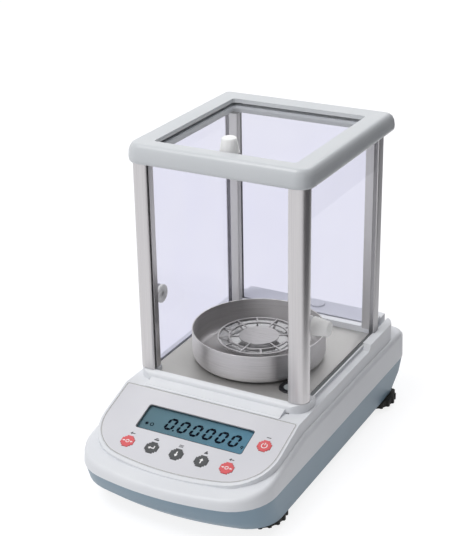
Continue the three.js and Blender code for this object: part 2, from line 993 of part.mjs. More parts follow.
function upperHousing() {
  const seat = levelRadius + gap;
  const holes = [
    drum(stemHole, jointHeight, floorHeight, panX, panY),
    drum(seat, floorHeight - levelDepth - gap, deckHeight, levelX, levelY),
    drum(levelInner, jointHeight, deckHeight, levelX, levelY, smallSides),
    drum(capStem / 2 + gap, jointHeight, deckHeight + overrun, capX, capY, smallSides),
    rearHole(inletX, inletHeight, inletWidth, inletTall),
    rearHole(socketX, socketHeight, socketWidth, socketTall),
    ...Object.values(screwPlaces).map(([x, y]) =>
      drum(screwRadius + gap, 0, trayTopOfFloor + screwLength + gap, x, y, smallSides),
    ),
  ];
  const shell = joined(cut(upperForm(), upperHollow()), ...pillars());
  piece("upper_housing", cut(shell, ...chamberCuts(), panelCuts(), ...holes), white);
}

function rearHole(x, z, width, tall) {
  return block(
    x - width / 2 - gap,
    x + width / 2 + gap,
    bodyRear - bodyRearCorner,
    bodyRear + overrun,
    z - tall / 2 - gap,
    z + tall / 2 + gap,
  );
}

function rearDeckCap() {
  const low = deckHeight + gap;
  const profile = [
    [0, deckHeight - shellWall],
    [capStem / 2, deckHeight - shellWall],
    [capStem / 2, low],
    [capRadius, low],
    [capRadius, low + capHeight - capEdge],
    [capRadius - capEdge, low + capHeight],
    [0, low + capHeight],
  ];
  piece("rear_deck_cap", turned(profile, capX, capY), white);
}

// Overlay, window, display, board and keys lie along the sloping panel
function panelPieces() {
  const panel = new THREE.Group();
  panel.position.set(0, panelTop, panelHeight);
  panel.rotation.x = panelTilt;
  balance.add(panel);
  const keyHoles = keyCentres.map(([x, v]) =>
    plate(keyLoop(x, v, gap), -keyThickness, keyThickness),
  );
  const overlay = cut(
    plate(overlayLoop(0), -overlayThickness, 0),
    plate(displayLoop(0), -keyThickness, keyThickness),
    ...keyHoles,
  );
  piece("keypad_overlay", overlay, filmGrey, panel);
  const windowTop = -overlayThickness - gap;
  const windowLow = windowTop - windowThickness;
  piece("display_window", plate(displayLoop(windowMargin), windowLow, windowTop), clear, panel);
  const moduleTop = -shellWall - 2 * gap;
  const moduleLow = moduleTop - moduleThickness;
  const module = plate(displayLoop(moduleMargin), moduleLow, moduleTop);
  piece("display_module", module, displayBlue, panel);
  const boardTop = moduleLow - gap;
  const board = block(
    displayCentreX - displayBoardWidth / 2,
    displayCentreX + displayBoardWidth / 2,
    displayBoardLowV,
    displayBoardTopV,
    boardTop - boardThickness,
    boardTop,
  );
  piece("display_board", board, boardGreen, panel);
  keyCentres.forEach(([x, v], i) => {
    const flangeTop = -shellWall - gap;
    const key = joined(
      plate(keyLoop(x, v, 0), flangeTop - keyFlangeThickness, keyProud),
      plate(keyLoop(x, v, keyFlange), flangeTop - keyFlangeThickness, flangeTop),
      drum(
        keySize / 4,
        boardTop + keyTravelRoom,
        flangeTop - keyFlangeThickness / 2,
        x,
        v,
        smallSides,
      ),
    );
    const isRed = i === 0 || i >= keyRowCount - 1;
    piece("key_" + (i + 1), key, isRed ? redKey : darkKey, panel);
  });
}

// Steel floor of the chamber, with holes for the carrier stem and the level
function chamberFloor() {
  const low = floorHeight - floorThickness;
  const sheet = joined(
    block(
      -recessHalfWidth + gap,
      recessHalfWidth - gap,
      recessCornerEnd + gap,
      recessRear - gap,
      low,
      floorHeight,
    ),
    block(
      -recessFrontHalfWidth + gap,
      recessFrontHalfWidth - gap,
      frontGlassY + glassThickness + gap,
      recessCornerEnd + overrun,
      low,
      floorHeight,
    ),
  );
  const holes = [
    drum(stemHole, low - overrun, floorHeight + overrun, panX, panY),
    drum(levelRadius + gap, low - overrun, floorHeight + overrun, levelX, levelY),
  ];
  piece("chamber_floor_plate", cut(sheet, ...holes), steel);
}

function doorTrack(side, name) {
  const track = joined(
    sideBlock(
      side,
      trackInner,
      doorOuter + gap,
      doorFront,
      recessRear - gap,
      trackBottom,
      trackBottom + trackWeb,
    ),
    sideBlock(
      side,
      trackInner,
      trackInner + trackLeg,
      doorFront,
      recessRear - gap,
      trackBottom,
      floorSeat,
    ),
  );
  piece(name, track, greyPlastic);
}

function bubbleLevel() {
  const low = floorHeight - levelDepth;
  const top = floorHeight + levelProud;
  const vialLow = top - vialHeight;
  const body = cut(
    drum(levelRadius, low, top, levelX, levelY),
    drum(levelInner, vialLow - gap, top + overrun, levelX, levelY),
  );
  piece("level_body", body, black);
  const vial = drum(vialRadius, vialLow, top - gap, levelX, levelY);
  piece("level_vial", vial, clear);
}

function frontPost(side, name) {
  const inner = frontPostInner;
  const outer = frontPostOuter;
  const front = frontPostFront;
  const rear = frontPostRear;
  const quarter = Math.PI / 2;
  const loop = [
    [inner + postEdge, front],
    ...arc(
      outer - frontPostCorner,
      front + frontPostCorner,
      frontPostCorner,
      0,
      quarter,
      8,
    ),
    [outer, rear - postEdge],
    [outer - postEdge, rear],
    [inner, rear],
    [inner, front + postEdge],
  ].map(([x, y]) => [side * x, y]);
  const slots = [
    sideBlock(
      side,
      inner - overrun,
      frontGlassHalfWidth + gap,
      frontGlassY - gap,
      frontGlassY + glassThickness + gap,
      0,
      frameTop,
    ),
    sideBlock(
      side,
      doorInner - runningGap,
      doorOuter + runningGap,
      doorFront - gap,
      rear + overrun,
      0,
      frameTop,
    ),
  ];
  const bar = plate(side > 0 ? loop : loop.reverse(), postBottom, postTop);
  piece(name, cut(bar, ...slots), brushedAluminium);
}

function rearPost(side, name) {
  const loop = roundedRectangle(
    rearPostInner,
    rearPostOuter,
    rearPostFront,
    rearPostRear,
    postEdge,
    2,
  ).map(([x, y]) => [side * x, y]);
  const slots = [
    sideBlock(
      side,
      rearPostInner - overrun,
      rearGlassHalfWidth + gap,
      rearGlassY - gap,
      rearGlassY + glassThickness + gap,
      deckHeight - floorThickness,
      frameTop,
    ),
    sideBlock(
      side,
      rearPostSlot,
      doorOuter + runningGap,
      rearPostFront - overrun,
      rearPostRear + overrun,
      doorBottom - gap,
      frameTop,
    ),
  ];
  const bar = plate(side > 0 ? loop : loop.reverse(), rearPostSeat + gap, postTop);
  piece(name, cut(bar, ...slots), brushedAluminium);
}

// Top frame: a cast ring with grooves for the glass and a slot for the lid
function topFrame() {
  const ring = (inset, height) =>
    raised(
      roundedRectangle(
        -frameHalfWidth + inset,
        frameHalfWidth - inset,
        frameFront + inset,
        frameRear - inset,
        Math.max(frameCorner - inset, openingCorner),
        6,
        frameRearCorner,
      ),
      height,
    );
  const quarters = [0, 0.25, 0.5, 0.75, 1].map((share) => (share * Math.PI) / 2);
  const tuck = [...quarters]
    .reverse()
    .map((angle) =>
      ring(
        frameTuck * (1 - Math.cos(angle)),
        frameBottom + frameTuckHeight * (1 - Math.sin(angle)),
      ),
    );
  const shoulder = quarters.map((angle) =>
    ring(
      frameCrestInset * (1 - Math.cos(angle)),
      frameTop - frameShoulder * (1 - Math.sin(angle)),
    ),
  );
  const form = loft([
    ...tuck,
    ...shoulder.slice(frameBottom + frameTuckHeight < frameTop - frameShoulder ? 0 : 1),
    ring(frameHalfWidth - openingHalfWidth - gap, frameTop - frameDish),
  ]);
  const slotRear = frameRear + overrun;
  const grooveTop = frameBottom + grooveDepth;
  const cuts = [
    plate(
      roundedRectangle(
        -openingHalfWidth,
        openingHalfWidth,
        openingFront,
        openingRear,
        openingCorner,
      ),
      frameBottom - overrun,
      frameTop + overrun,
    ),
    block(
      -underCutHalfWidth,
      underCutHalfWidth,
      underCutFront,
      underCutRear,
      frameBottom - overrun,
      underCutHeight,
    ),
    block(
      -lidHalfWidth - gap,
      lidHalfWidth + gap,
      lidFront - gap,
      slotRear,
      lidBottom - gap,
      lidTop + gap,
    ),
    block(
      -frontGlassHalfWidth - gap,
      frontGlassHalfWidth + gap,
      frontGlassY - gap,
      frontGlassY + glassThickness + gap,
      frameBottom - overrun,
      grooveTop,
    ),
    block(
      -rearGlassHalfWidth - gap,
      rearGlassHalfWidth + gap,
      rearGlassY - gap,
      rearGlassY + glassThickness + gap,
      frameBottom - overrun,
      grooveTop,
    ),
    ...bothSides((side) =>
      sideBlock(
        side,
        doorInner - runningGap,
        doorOuter + runningGap,
        doorFront - gap,
        slotRear,
        frameBottom - overrun,
        doorTop + gap,
      ),
    ),
  ];
  piece("top_frame", cut(form, ...cuts), framePaint);
}

function fixedGlass() {
  const top = frameBottom + grooveDepth - gap;
  const front = block(
    -frontGlassHalfWidth,
    frontGlassHalfWidth,
    frontGlassY,
    frontGlassY + glassThickness,
    floorSeat + gap,
    top,
  );
  piece("front_glass", front, clear);
  const rear = block(
    -rearGlassHalfWidth,
    rearGlassHalfWidth,
    rearGlassY,
    rearGlassY + glassThickness,
    deckHeight - floorThickness + gap,
    top,
  );
  piece("rear_glass", rear, clear);
}

// Profile of a tapered knob whose stud passes through glass to a nut
function knobProfile(face, length) {
  const studEnd = face - gap - glassThickness - gap - studReach;
  return [
    [0, studEnd],
    [studRadius, studEnd],
    [studRadius, face],
    [knobRadius, face],
    [knobTipRadius, face + length - knobTipEdge],
    [knobTipRadius - knobTipEdge, face + length],
    [0, face + length],
  ];
}

// Profile of the nut on the other side of the glass
function nutProfile(face) {
  const low = face - nutThickness;
  const bore = studRadius + gap;
  const floor = face - studReach - 2 * gap;
  return [
    [0, low],
    [nutRadius, low],
    [nutRadius, face],
    [bore, face],
    [bore, floor],
    [0, floor],
  ];
}

function door(side, name) {
  const glass = cut(
    sideBlock(side, doorInner, doorOuter, doorFront, doorRear, doorBottom, doorTop),
    turnedAlongX(
      [
        [0, doorInner - overrun],
        [studRadius + gap, doorInner - overrun],
        [studRadius + gap, doorOuter + overrun],
        [0, doorOuter + overrun],
      ],
      doorKnobY,
      doorKnobHeight,
      side,
      smallSides,
    ),
  );
  piece(name + "_glass", glass, clear);
  const knob = knobProfile(doorOuter + gap, knobLength);
  piece(name + "_knob", turnedAlongX(knob, doorKnobY, doorKnobHeight, side), knobWhite);
  const nut = nutProfile(doorInner - gap);
  piece(name + "_nut", turnedAlongX(nut, doorKnobY, doorKnobHeight, side), knobWhite);
}

function slidingLid() {
  const glass = cut(
    block(-lidHalfWidth, lidHalfWidth, lidFront, lidRear, lidBottom, lidTop),
    drum(studRadius + gap, lidBottom - overrun, lidTop + overrun, 0, lidKnobY, smallSides),
  );
  piece("lid_glass", glass, clear);
  piece("lid_knob", turned(knobProfile(lidTop + gap, lidKnobLength), 0, lidKnobY), knobWhite);
  piece("lid_nut", turned(nutProfile(lidBottom - gap), 0, lidKnobY), knobWhite);
}

// Openwork pan: disc, two rings, long spokes and short outer spokes between them
function weighingPan() {
  const top = panHeight + panThickness;
  const ring = (radius, width) =>
    cut(
      drum(radius, panHeight, top, panX, panY, roundSides),
      drum(radius - width, panHeight - overrun, top + overrun, panX, panY, roundSides),
    );
  const spoke = (from, to, turn) => {
    const geometry = new THREE.BoxGeometry(to - from, panSpokeWidth, panThickness);
    geometry.translate((from + to) / 2, 0, panHeight + panThickness / 2);
    geometry.rotateZ(turn);
    geometry.translate(panX, panY, 0);
    return solid(geometry);
  };
  const step = (2 * Math.PI) / panSpokes;
  const bite = panRimWidth / 2;
  const spokes = Array.from({ length: panSpokes }, (_, i) => [
    spoke(panDiscRadius - bite, panRadius - bite, (i + 0.5) * step),
    spoke(panMiddleRadius - bite, panRadius - bite, i * step),
  ]).flat();
  const pan = joined(
    drum(panDiscRadius, panHeight, top, panX, panY, roundSides),
    ring(panMiddleRadius, panMiddleWidth),
    ring(panRadius, panRimWidth),
    ...spokes,
  );
  piece("weighing_pan", pan, steel);
}

// Carrier: a polished dish on a stem that reaches down to the weighing cell
function panCarrier() {
  const rim = panHeight - gap;
  const low = rim - dishDepth;
  const profile = [
    [0, hangerTop - hangerSocket + gap],
    [stemRadius, hangerTop - hangerSocket + gap],
    [stemRadius, low - hubHeight],
    [hubRadius, low - hubHeight],
    [hubRadius, low],
    [dishRadius, rim - dishThickness],
    [dishRadius, rim],
    [dishRadius - dishRim, rim],
    [hubRadius, low + dishThickness],
    [0, low + dishThickness],
  ];
  piece("pan_carrier", turned(profile, panX, panY), polished);
}

function draftRing() {
  const low = floorHeight + gap;
  const quarter = Math.PI / 2;
  const rounding = (radius) =>
    arc(ringRadius - ringRounding, low + ringRounding, radius, 0, quarter, 4);
  const profile = [
    [ringHole, low],
    ...rounding(ringRounding),
    [ringRadius, ringTop],
    [ringRadius - ringWall, ringTop],
    ...rounding(ringRounding - ringWall).reverse(),
    [ringHole, low + ringWall],
    [ringHole, low],
  ];
  piece("draft_ring", turned(profile, panX, panY, roundSides + smallSides), steel);
}

// A foot: fluted wheel with a threaded stud, and a pad under it
function foot(name, [x, y]) {
  const points = Array.from({ length: wheelLobes }, (_, i) => {
    const step = (2 * Math.PI) / wheelLobes;
    return [
      [wheelRadius, -0.13],
      [wheelRadius, 0.13],
      [wheelRadius - wheelFlute * 0.85, 0.27],
      [wheelRadius - wheelFlute, 0.5],
      [wheelRadius - wheelFlute * 0.85, 0.73],
    ].map(([radius, share]) => {
      const angle = (i + share) * step;
      return [x + radius * Math.cos(angle), y + radius * Math.sin(angle)];
    });
  }).flat();
  const wheel = joined(
    plate(points, wheelBottom, wheelTop),
    drum(footStudRadius, wheelBottom, footStudTop, x, y, smallSides),
  );
  piece("foot_wheel_" + name, wheel, black);
  const profile = [
    [0, 0],
    [padRadius - padFoot, 0],
    [padRadius, padFoot],
    [padRadius, wheelBottom - gap],
    [0, wheelBottom - gap],
  ];
  piece("foot_pad_" + name, turned(profile, x, y, smallSides), black);
}

// Fixed base of the weighing cell: plate, column and the seat of the magnet
function cellBase() {
  const low = trayTopOfFloor + cellFloorGap;
  const made = joined(
    block(-cellHalfWidth, cellHalfWidth, cellFront, cellRear, low, low + cellPlate),
    block(-columnHalfWidth, columnHalfWidth, columnFront, columnRear, low, columnTop),
  );
  const leverSlot = block(
    -leverSlotHalfWidth,
    leverSlotHalfWidth,
    columnFront - overrun,
    columnRear + overrun,
    leverBottom - leverHeight / 4,
    leverBottom + leverHeight * 1.25,
  );
  const guideSlot = block(
    -columnHalfWidth - overrun,
    columnHalfWidth + overrun,
    columnFront - overrun,
    columnRear - guideHalfWidth / 2,
    guideLowHeight - gap,
    guideLowHeight + guideThickness + gap,
  );
  piece("cell_base", cut(made, guideSlot, leverSlot, pivotPin(gap)), castAlloy);
}

// The pin on which the lever beam tips, or with a margin its bore
function pivotPin(margin) {
  const radius = pivotRadius + margin;
  const reach = pivotReach + margin;
  const geometry = new THREE.CylinderGeometry(radius, radius, 2 * reach, smallSides);
  geometry.rotateZ(Math.PI / 2);
  geometry.translate(0, pivotY, leverBottom + leverHeight / 2);
  return solid(geometry);
}

// The block that hangs from the guides and carries the stem of the pan
function cellHanger() {
  const hanger = block(
    -hangerHalfWidth,
    hangerHalfWidth,
    hangerFront,
    hangerRear,
    hangerBottom,
    hangerTop,
  );
  const socket = drum(
    stemRadius + gap,
    hangerTop - hangerSocket,
    hangerTop + overrun,
    panX,
    panY,
    smallSides,
  );
  piece("cell_hanger", cut(hanger, socket), zinc);
}

// A parallel guide with a hole for the stem
function guide(name, height, rear) {
  const sheet = block(
    -guideHalfWidth,
    guideHalfWidth,
    guideFront,
    rear,
    height,
    height + guideThickness,
  );
  const hole = drum(
    stemRadius + runningGap,
    height - overrun,
    height + guideThickness + overrun,
    panX,
    panY,
    smallSides,
  );
  piece(name, cut(sheet, hole), zinc);
}

function leverAndCoil() {
  const beam = block(
    -leverHalfWidth,
    leverHalfWidth,
    leverFront,
    leverRear,
    leverBottom,
    leverBottom + leverHeight,
  );
  const head = drum(
    coilRadius,
    leverBottom,
    leverBottom + leverHeight,
    0,
    magnetY,
    smallSides * 2,
  );
  piece("lever_beam", joined(beam, head, pivotPin(0)), zinc);
  const coilTop = leverBottom - gap;
  const coil = cut(
    drum(coilRadius, coilBottom, coilTop, 0, magnetY),
    drum(coilInner, coilBottom - overrun, coilTop - coilCap, 0, magnetY),
  );
  piece("coil", coil, copper);
}

function magnet() {
  const low = trayTopOfFloor + cellFloorGap + cellPlate + gap;
  const profile = [
    [0, low],
    [magnetRadius, low],
    [magnetRadius, magnetTop],
    [magnetBore, magnetTop],
    [magnetBore, low + magnetFloor],
    [magnetCoreRadius, low + magnetFloor],
    [magnetCoreRadius, magnetTop - coilCap],
    [0, magnetTop - coilCap],
  ];
  piece("magnet_can", turned(profile, 0, magnetY), castAlloy);
}

function mainBoard() {
  const board = block(
    mainBoardX - mainBoardHalfWidth,
    mainBoardX + mainBoardHalfWidth,
    mainBoardFront,
    mainBoardRear,
    mainBoardHeight,
    mainBoardHeight + boardThickness,
  );
  piece("main_board", board, boardGreen);
}

// Power inlet and data socket in the rear wall
function powerInlet() {
  const rear = bodyRear;
  const lipRear = bodyRear - shellWall - shoulderInset - gap;
  const body = joined(
    block(
      inletX - inletWidth / 2,
      inletX + inletWidth / 2,
      rear - inletLength,
      rear,
      inletHeight - inletTall / 2,
      inletHeight + inletTall / 2,
    ),
    block(
      inletX - inletWidth / 2 - inletLipMargin,
      inletX + inletWidth / 2 + inletLipMargin,
      lipRear - inletLip,
      lipRear,
      inletHeight - inletTall / 2 - inletLipMargin,
      inletHeight + inletTall / 2 + inletLipMargin,
    ),
  );
  const bore = alongY(inletBore, rear - inletBoreDepth, rear + overrun, inletX, inletHeight);
  const pinEnd = rear - inletPinShort;
  const pinStart = rear - inletBoreDepth - overrun;
  const pin = alongY(inletPin, pinStart, pinEnd, inletX, inletHeight);
  piece("power_inlet", joined(cut(body, bore), pin), black);
}

function alongY(radius, y0, y1, x, z) {
  const geometry = new THREE.CylinderGeometry(radius, radius, y1 - y0, smallSides);
  geometry.translate(x, (y0 + y1) / 2, z);
  return solid(geometry);
}

function dataSocket() {
  const rear = bodyRear;
  const body = block(
    socketX - socketWidth / 2,
    socketX + socketWidth / 2,
    rear - socketLength,
    rear,
    socketHeight - socketTall / 2,
    socketHeight + socketTall / 2,
  );
  const mouth = block(
    socketX - socketMouthWidth / 2,
    socketX + socketMouthWidth / 2,
    rear - socketMouthDepth,
    rear + overrun,
    socketHeight - socketMouthTall / 2,
    socketHeight + socketMouthTall / 2,
  );
  piece("data_socket", cut(body, mouth), zinc);
}

function caseScrew(name, [x, y]) {
  const low = trayBottom - screwHeadThickness / 2;
  const seat = low + screwHeadThickness - gap;
  const profile = [
    [0, low],
    [screwHeadRadius, low],
    [screwHeadRadius, seat],
    [screwRadius, seat],
    [screwRadius, low + screwLength],
    [0, low + screwLength],
  ];
  piece("case_screw_" + name, turned(profile, x, y, smallSides), zinc);
}

lowerHousing();
upperHousing();
rearDeckCap();
panelPieces();
chamberFloor();
doorTrack(-1, "door_track_left");
doorTrack(1, "door_track_right");
bubbleLevel();
frontPost(-1, "post_front_left");
frontPost(1, "post_front_right");
rearPost(-1, "post_rear_left");
rearPost(1, "post_rear_right");
topFrame();
fixedGlass();
door(-1, "left_door");
door(1, "right_door");
slidingLid();
weighingPan();
panCarrier();
draftRing();
for (const [name, place] of Object.entries(footPlaces)) {
  foot(name, place);
}
cellBase();
cellHanger();
guide("guide_upper", guideTopHeight, guideRear);
guide("guide_lower", guideLowHeight, guideRear - guideHalfWidth);
leverAndCoil();
magnet();
mainBoard();
powerInlet();
dataSocket();
for (const [name, place] of Object.entries(screwPlaces)) {
  caseScrew(name, place);
}

export default balance;
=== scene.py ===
import math

import bmesh
import bpy
from mathutils import Matrix, Vector


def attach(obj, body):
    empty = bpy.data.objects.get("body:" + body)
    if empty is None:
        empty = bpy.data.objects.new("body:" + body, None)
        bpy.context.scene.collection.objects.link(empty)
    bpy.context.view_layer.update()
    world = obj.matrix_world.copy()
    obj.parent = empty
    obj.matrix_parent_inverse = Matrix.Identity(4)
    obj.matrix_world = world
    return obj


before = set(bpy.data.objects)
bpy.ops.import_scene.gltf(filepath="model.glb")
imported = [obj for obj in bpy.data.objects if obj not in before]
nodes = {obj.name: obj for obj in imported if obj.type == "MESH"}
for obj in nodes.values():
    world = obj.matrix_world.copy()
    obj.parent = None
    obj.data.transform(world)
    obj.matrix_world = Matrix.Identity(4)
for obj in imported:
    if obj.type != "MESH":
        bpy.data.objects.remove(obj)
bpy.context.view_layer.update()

MM = 1000  # millimetres in a metre

# ---------------------------------------------------------------- camera

CAMERA_PLACE = (0.58203, -1.0985, 0.7447)
CAMERA_AZIMUTH = math.radians(28.35)
CAMERA_ELEVATION = math.radians(23.42)
CAMERA_ROLL = math.radians(-0.88)
FOCAL_LENGTH_MM = 88.25
SENSOR_WIDTH_MM = 36


def place_camera():
    """The camera stands in front of the balance and to its right, a little above the glass chamber."""
    a, e = CAMERA_AZIMUTH, CAMERA_ELEVATION
    back = Vector((math.sin(a) * math.cos(e), -math.cos(a) * math.cos(e), math.sin(e)))
    level = Vector((0, 0, 1)).cross(back).normalized()
    upward = back.cross(level)
    c, s = math.cos(CAMERA_ROLL), math.sin(CAMERA_ROLL)
    right = level * c + upward * s
    up = upward * c - level * s
    data = bpy.data.cameras.new("camera")
    data.lens = FOCAL_LENGTH_MM
    data.sensor_width = SENSOR_WIDTH_MM
    camera = bpy.data.objects.new("camera", data)
    bpy.context.scene.collection.objects.link(camera)
    turn = Matrix((right, up, back)).transposed().to_4x4()
    camera.matrix_world = Matrix.Translation(CAMERA_PLACE) @ turn
    bpy.context.scene.camera = camera


place_camera()

# ---------------------------------------------------------------- materials

RAMP_ENDS = (0.3, 0.7)  # the noise values at which a surface has its darker and its paler colour
RELIEF = 10  # a relief as fine as the real one wouldn't show, so it is drawn ten times as deep
CLOUD_SIZE = 45  # of the faint clouds in moulded plastic, in mm
GRAIN_BUMP = 0.25
GRAIN_GLOSS = (-0.04, 0.06)  # what the grain adds to the roughness
STREAK_BUMP = 0.2
STREAK_GLOSS = (-0.06, 0.08)  # what the streaks add to the roughness
STREAK_ROUGHNESS = 0.6
SPUN_SHEEN = 0.8  # how far the gloss of a spun metal spreads across its turning marks
SMEAR_SIZE = 60  # of the faint clouds in glass, in mm
CUT_EDGE_BELOW = 0.8  # a face is a cut edge where less than this of its normal lies along the thin way
CUT_EDGE_ROUGHNESS = 0.12
PLAIN_INDEX = 1.5
WHITE = "#FFFFFF"


def linear(code):
    """An sRGB hex colour as the linear colour that the shaders take."""
    parts = [int(code[i : i + 2], 16) / 255 for i in (1, 3, 5)]
    return tuple(c / 12.92 if c <= 0.04045 else ((c + 0.055) / 1.055) ** 2.4 for c in parts) + (1.0,)


def add(tree, kind, values=None, links=None, stops=()):
    """Adds one node: its settings and input values, what its inputs are joined to, and a ramp's colours."""
    made = tree.nodes.new(kind)
    for key, value in (values or {}).items():
        if isinstance(key, str) and hasattr(made, key):
            setattr(made, key, value)
        else:
            made.inputs[key].default_value = value
    for key, source in (links or {}).items():
        tree.links.new(source.outputs[0] if isinstance(source, bpy.types.Node) else source, made.inputs[key])
    stops = list(stops)
    for i in range(2, len(stops)):
        made.color_ramp.elements.new(0.5)
    for i, (place, code) in enumerate(stops):
        made.color_ramp.elements[i].position = place
        made.color_ramp.elements[i].color = linear(code)
    return made


def blank(name):
    """A new material, with its node tree and its output node."""
    material = bpy.data.materials.new(name)
    material.use_nodes = True
    tree = material.node_tree
    tree.nodes.clear()
    return material, tree, add(tree, "ShaderNodeOutputMaterial")


def millimetres(tree, scale=(1, 1, 1), turn=(0, 0, 0)):
    """The place on the piece in millimetres, stretched for a pattern that runs one way."""
    place = add(tree, "ShaderNodeTexCoord")
    whole = add(
        tree, "ShaderNodeVectorMath", {"operation": "SCALE", "Scale": MM}, {0: place.outputs["Object"]}
    )
    return add(tree, "ShaderNodeMapping", {"Rotation": turn, "Scale": scale}, {"Vector": whole})


def moulded(name, low, high, roughness, grain=0.9, depth=0.006, index=PLAIN_INDEX, glow_through=0.0):
    """Injection-moulded plastic: cloudy colour over some centimetres, and a fine spark-eroded grain.

    The grain, the depth of its relief and the way that light goes through are in millimetres.
    """
    material, tree, out = blank(name)
    cloud = add(
        tree,
        "ShaderNodeTexNoise",
        {"Scale": 1 / CLOUD_SIZE, "Detail": 3, "Roughness": 0.5},
        {"Vector": millimetres(tree)},
    )
    colour = add(tree, "ShaderNodeValToRGB", {}, {"Fac": cloud}, zip(RAMP_ENDS, (low, high)))
    texture = add(
        tree, "ShaderNodeTexNoise", {"Scale": 1 / grain, "Detail": 2}, {"Vector": millimetres(tree)}
    )
    sheen = add(
        tree,
        "ShaderNodeMapRange",
        {"To Min": roughness + GRAIN_GLOSS[0], "To Max": roughness + GRAIN_GLOSS[1]},
        {"Value": texture},
    )
    bump = add(
        tree,
        "ShaderNodeBump",
        {"Strength": GRAIN_BUMP, "Distance": depth / MM * RELIEF},
        {"Height": texture},
    )
    skin = add(
        tree,
        "ShaderNodeBsdfPrincipled",
        {
            "IOR": index,
            "Subsurface Weight": 1.0 if glow_through else 0.0,
            "Subsurface Radius": (1.0, 1.0, 1.0),
            "Subsurface Scale": glow_through / MM,
        },
        {"Base Color": colour, "Roughness": sheen, "Normal": bump},
    )
    tree.links.new(skin.outputs[0], out.inputs[0])
    return material


def metal_from(material, tree, out, streaks, low, high, roughness, depth, across=None):
    """Finishes a metal whose colour, gloss and relief follow its streaks; its sheen may lie across them."""
    colour = add(tree, "ShaderNodeValToRGB", {}, {"Fac": streaks}, zip(RAMP_ENDS, (low, high)))
    gloss = add(
        tree,
        "ShaderNodeMapRange",
        {
            "From Min": RAMP_ENDS[0],
            "From Max": RAMP_ENDS[1],
            "To Min": roughness + STREAK_GLOSS[0],
            "To Max": roughness + STREAK_GLOSS[1],
        },
        {"Value": streaks},
    )
    bump = add(
        tree,
        "ShaderNodeBump",
        {"Strength": STREAK_BUMP, "Distance": depth / MM * RELIEF},
        {"Height": streaks},
    )
    values = {"Metallic": 1.0}
    links = {"Base Color": colour, "Roughness": gloss, "Normal": bump}
    if across:
        values["Anisotropic"] = SPUN_SHEEN
        links["Tangent"] = across
    skin = add(tree, "ShaderNodeBsdfPrincipled", values, links)
    tree.links.new(skin.outputs[0], out.inputs[0])
    return material


def brushed(name, low, high, roughness, along, thread=0.5, length=60, turn=(0, 0, 0), depth=0.002):
    """Brushed metal: streaks along one axis, a fraction of a millimetre apart and some centimetres long."""
    scale = [1 / thread] * 3
    scale[along] = 1 / length
    material, tree, out = blank(name)
    streaks = add(
        tree,
        "ShaderNodeTexNoise",
        {"Scale": 1, "Detail": 3, "Roughness": STREAK_ROUGHNESS},
        {"Vector": millimetres(tree, scale, turn)},
    )
    return metal_from(material, tree, out, streaks, low, high, roughness, depth)


def spun(name, low, high, roughness, centre, thread=0.45, length=50, radius=72, depth=0.002):
    """Turned or spun metal: the streaks run round an upright axis, and its sheen lies across them."""
    material, tree, out = blank(name)
    place = add(tree, "ShaderNodeSeparateXYZ", {}, {"Vector": millimetres(tree)})
    dx = add(tree, "ShaderNodeMath", {"operation": "SUBTRACT", 1: centre[0]}, {0: place.outputs["X"]})
    dy = add(tree, "ShaderNodeMath", {"operation": "SUBTRACT", 1: centre[1]}, {0: place.outputs["Y"]})
    angle = add(tree, "ShaderNodeMath", {"operation": "ARCTAN2"}, {0: dy, 1: dx})
    around = add(tree, "ShaderNodeMath", {"operation": "MULTIPLY", 1: radius / length}, {0: angle})
    flat = add(tree, "ShaderNodeCombineXYZ", {}, {"X": dx, "Y": dy})
    reach = add(tree, "ShaderNodeVectorMath", {"operation": "LENGTH"}, {0: flat})
    out_steps = add(
        tree, "ShaderNodeMath", {"operation": "MULTIPLY", 1: 1 / thread}, {0: reach.outputs["Value"]}
    )
    up_steps = add(
        tree, "ShaderNodeMath", {"operation": "MULTIPLY", 1: 1 / thread}, {0: place.outputs["Z"]}
    )
    wound = add(tree, "ShaderNodeCombineXYZ", {}, {"X": around, "Y": out_steps, "Z": up_steps})
    streaks = add(
        tree,
        "ShaderNodeTexNoise",
        {"Scale": 1, "Detail": 3, "Roughness": STREAK_ROUGHNESS},
        {"Vector": wound},
    )
    back = add(tree, "ShaderNodeMath", {"operation": "MULTIPLY", 1: -1.0}, {0: dy})
    ring_way = add(tree, "ShaderNodeCombineXYZ", {}, {"X": back, "Y": dx})
    geometry = add(tree, "ShaderNodeNewGeometry")
    across = add(
        tree,
        "ShaderNodeVectorMath",
        {"operation": "CROSS_PRODUCT"},
        {0: geometry.outputs["Normal"], 1: ring_way},
    )
    return metal_from(material, tree, out, streaks, low, high, roughness, depth, across)


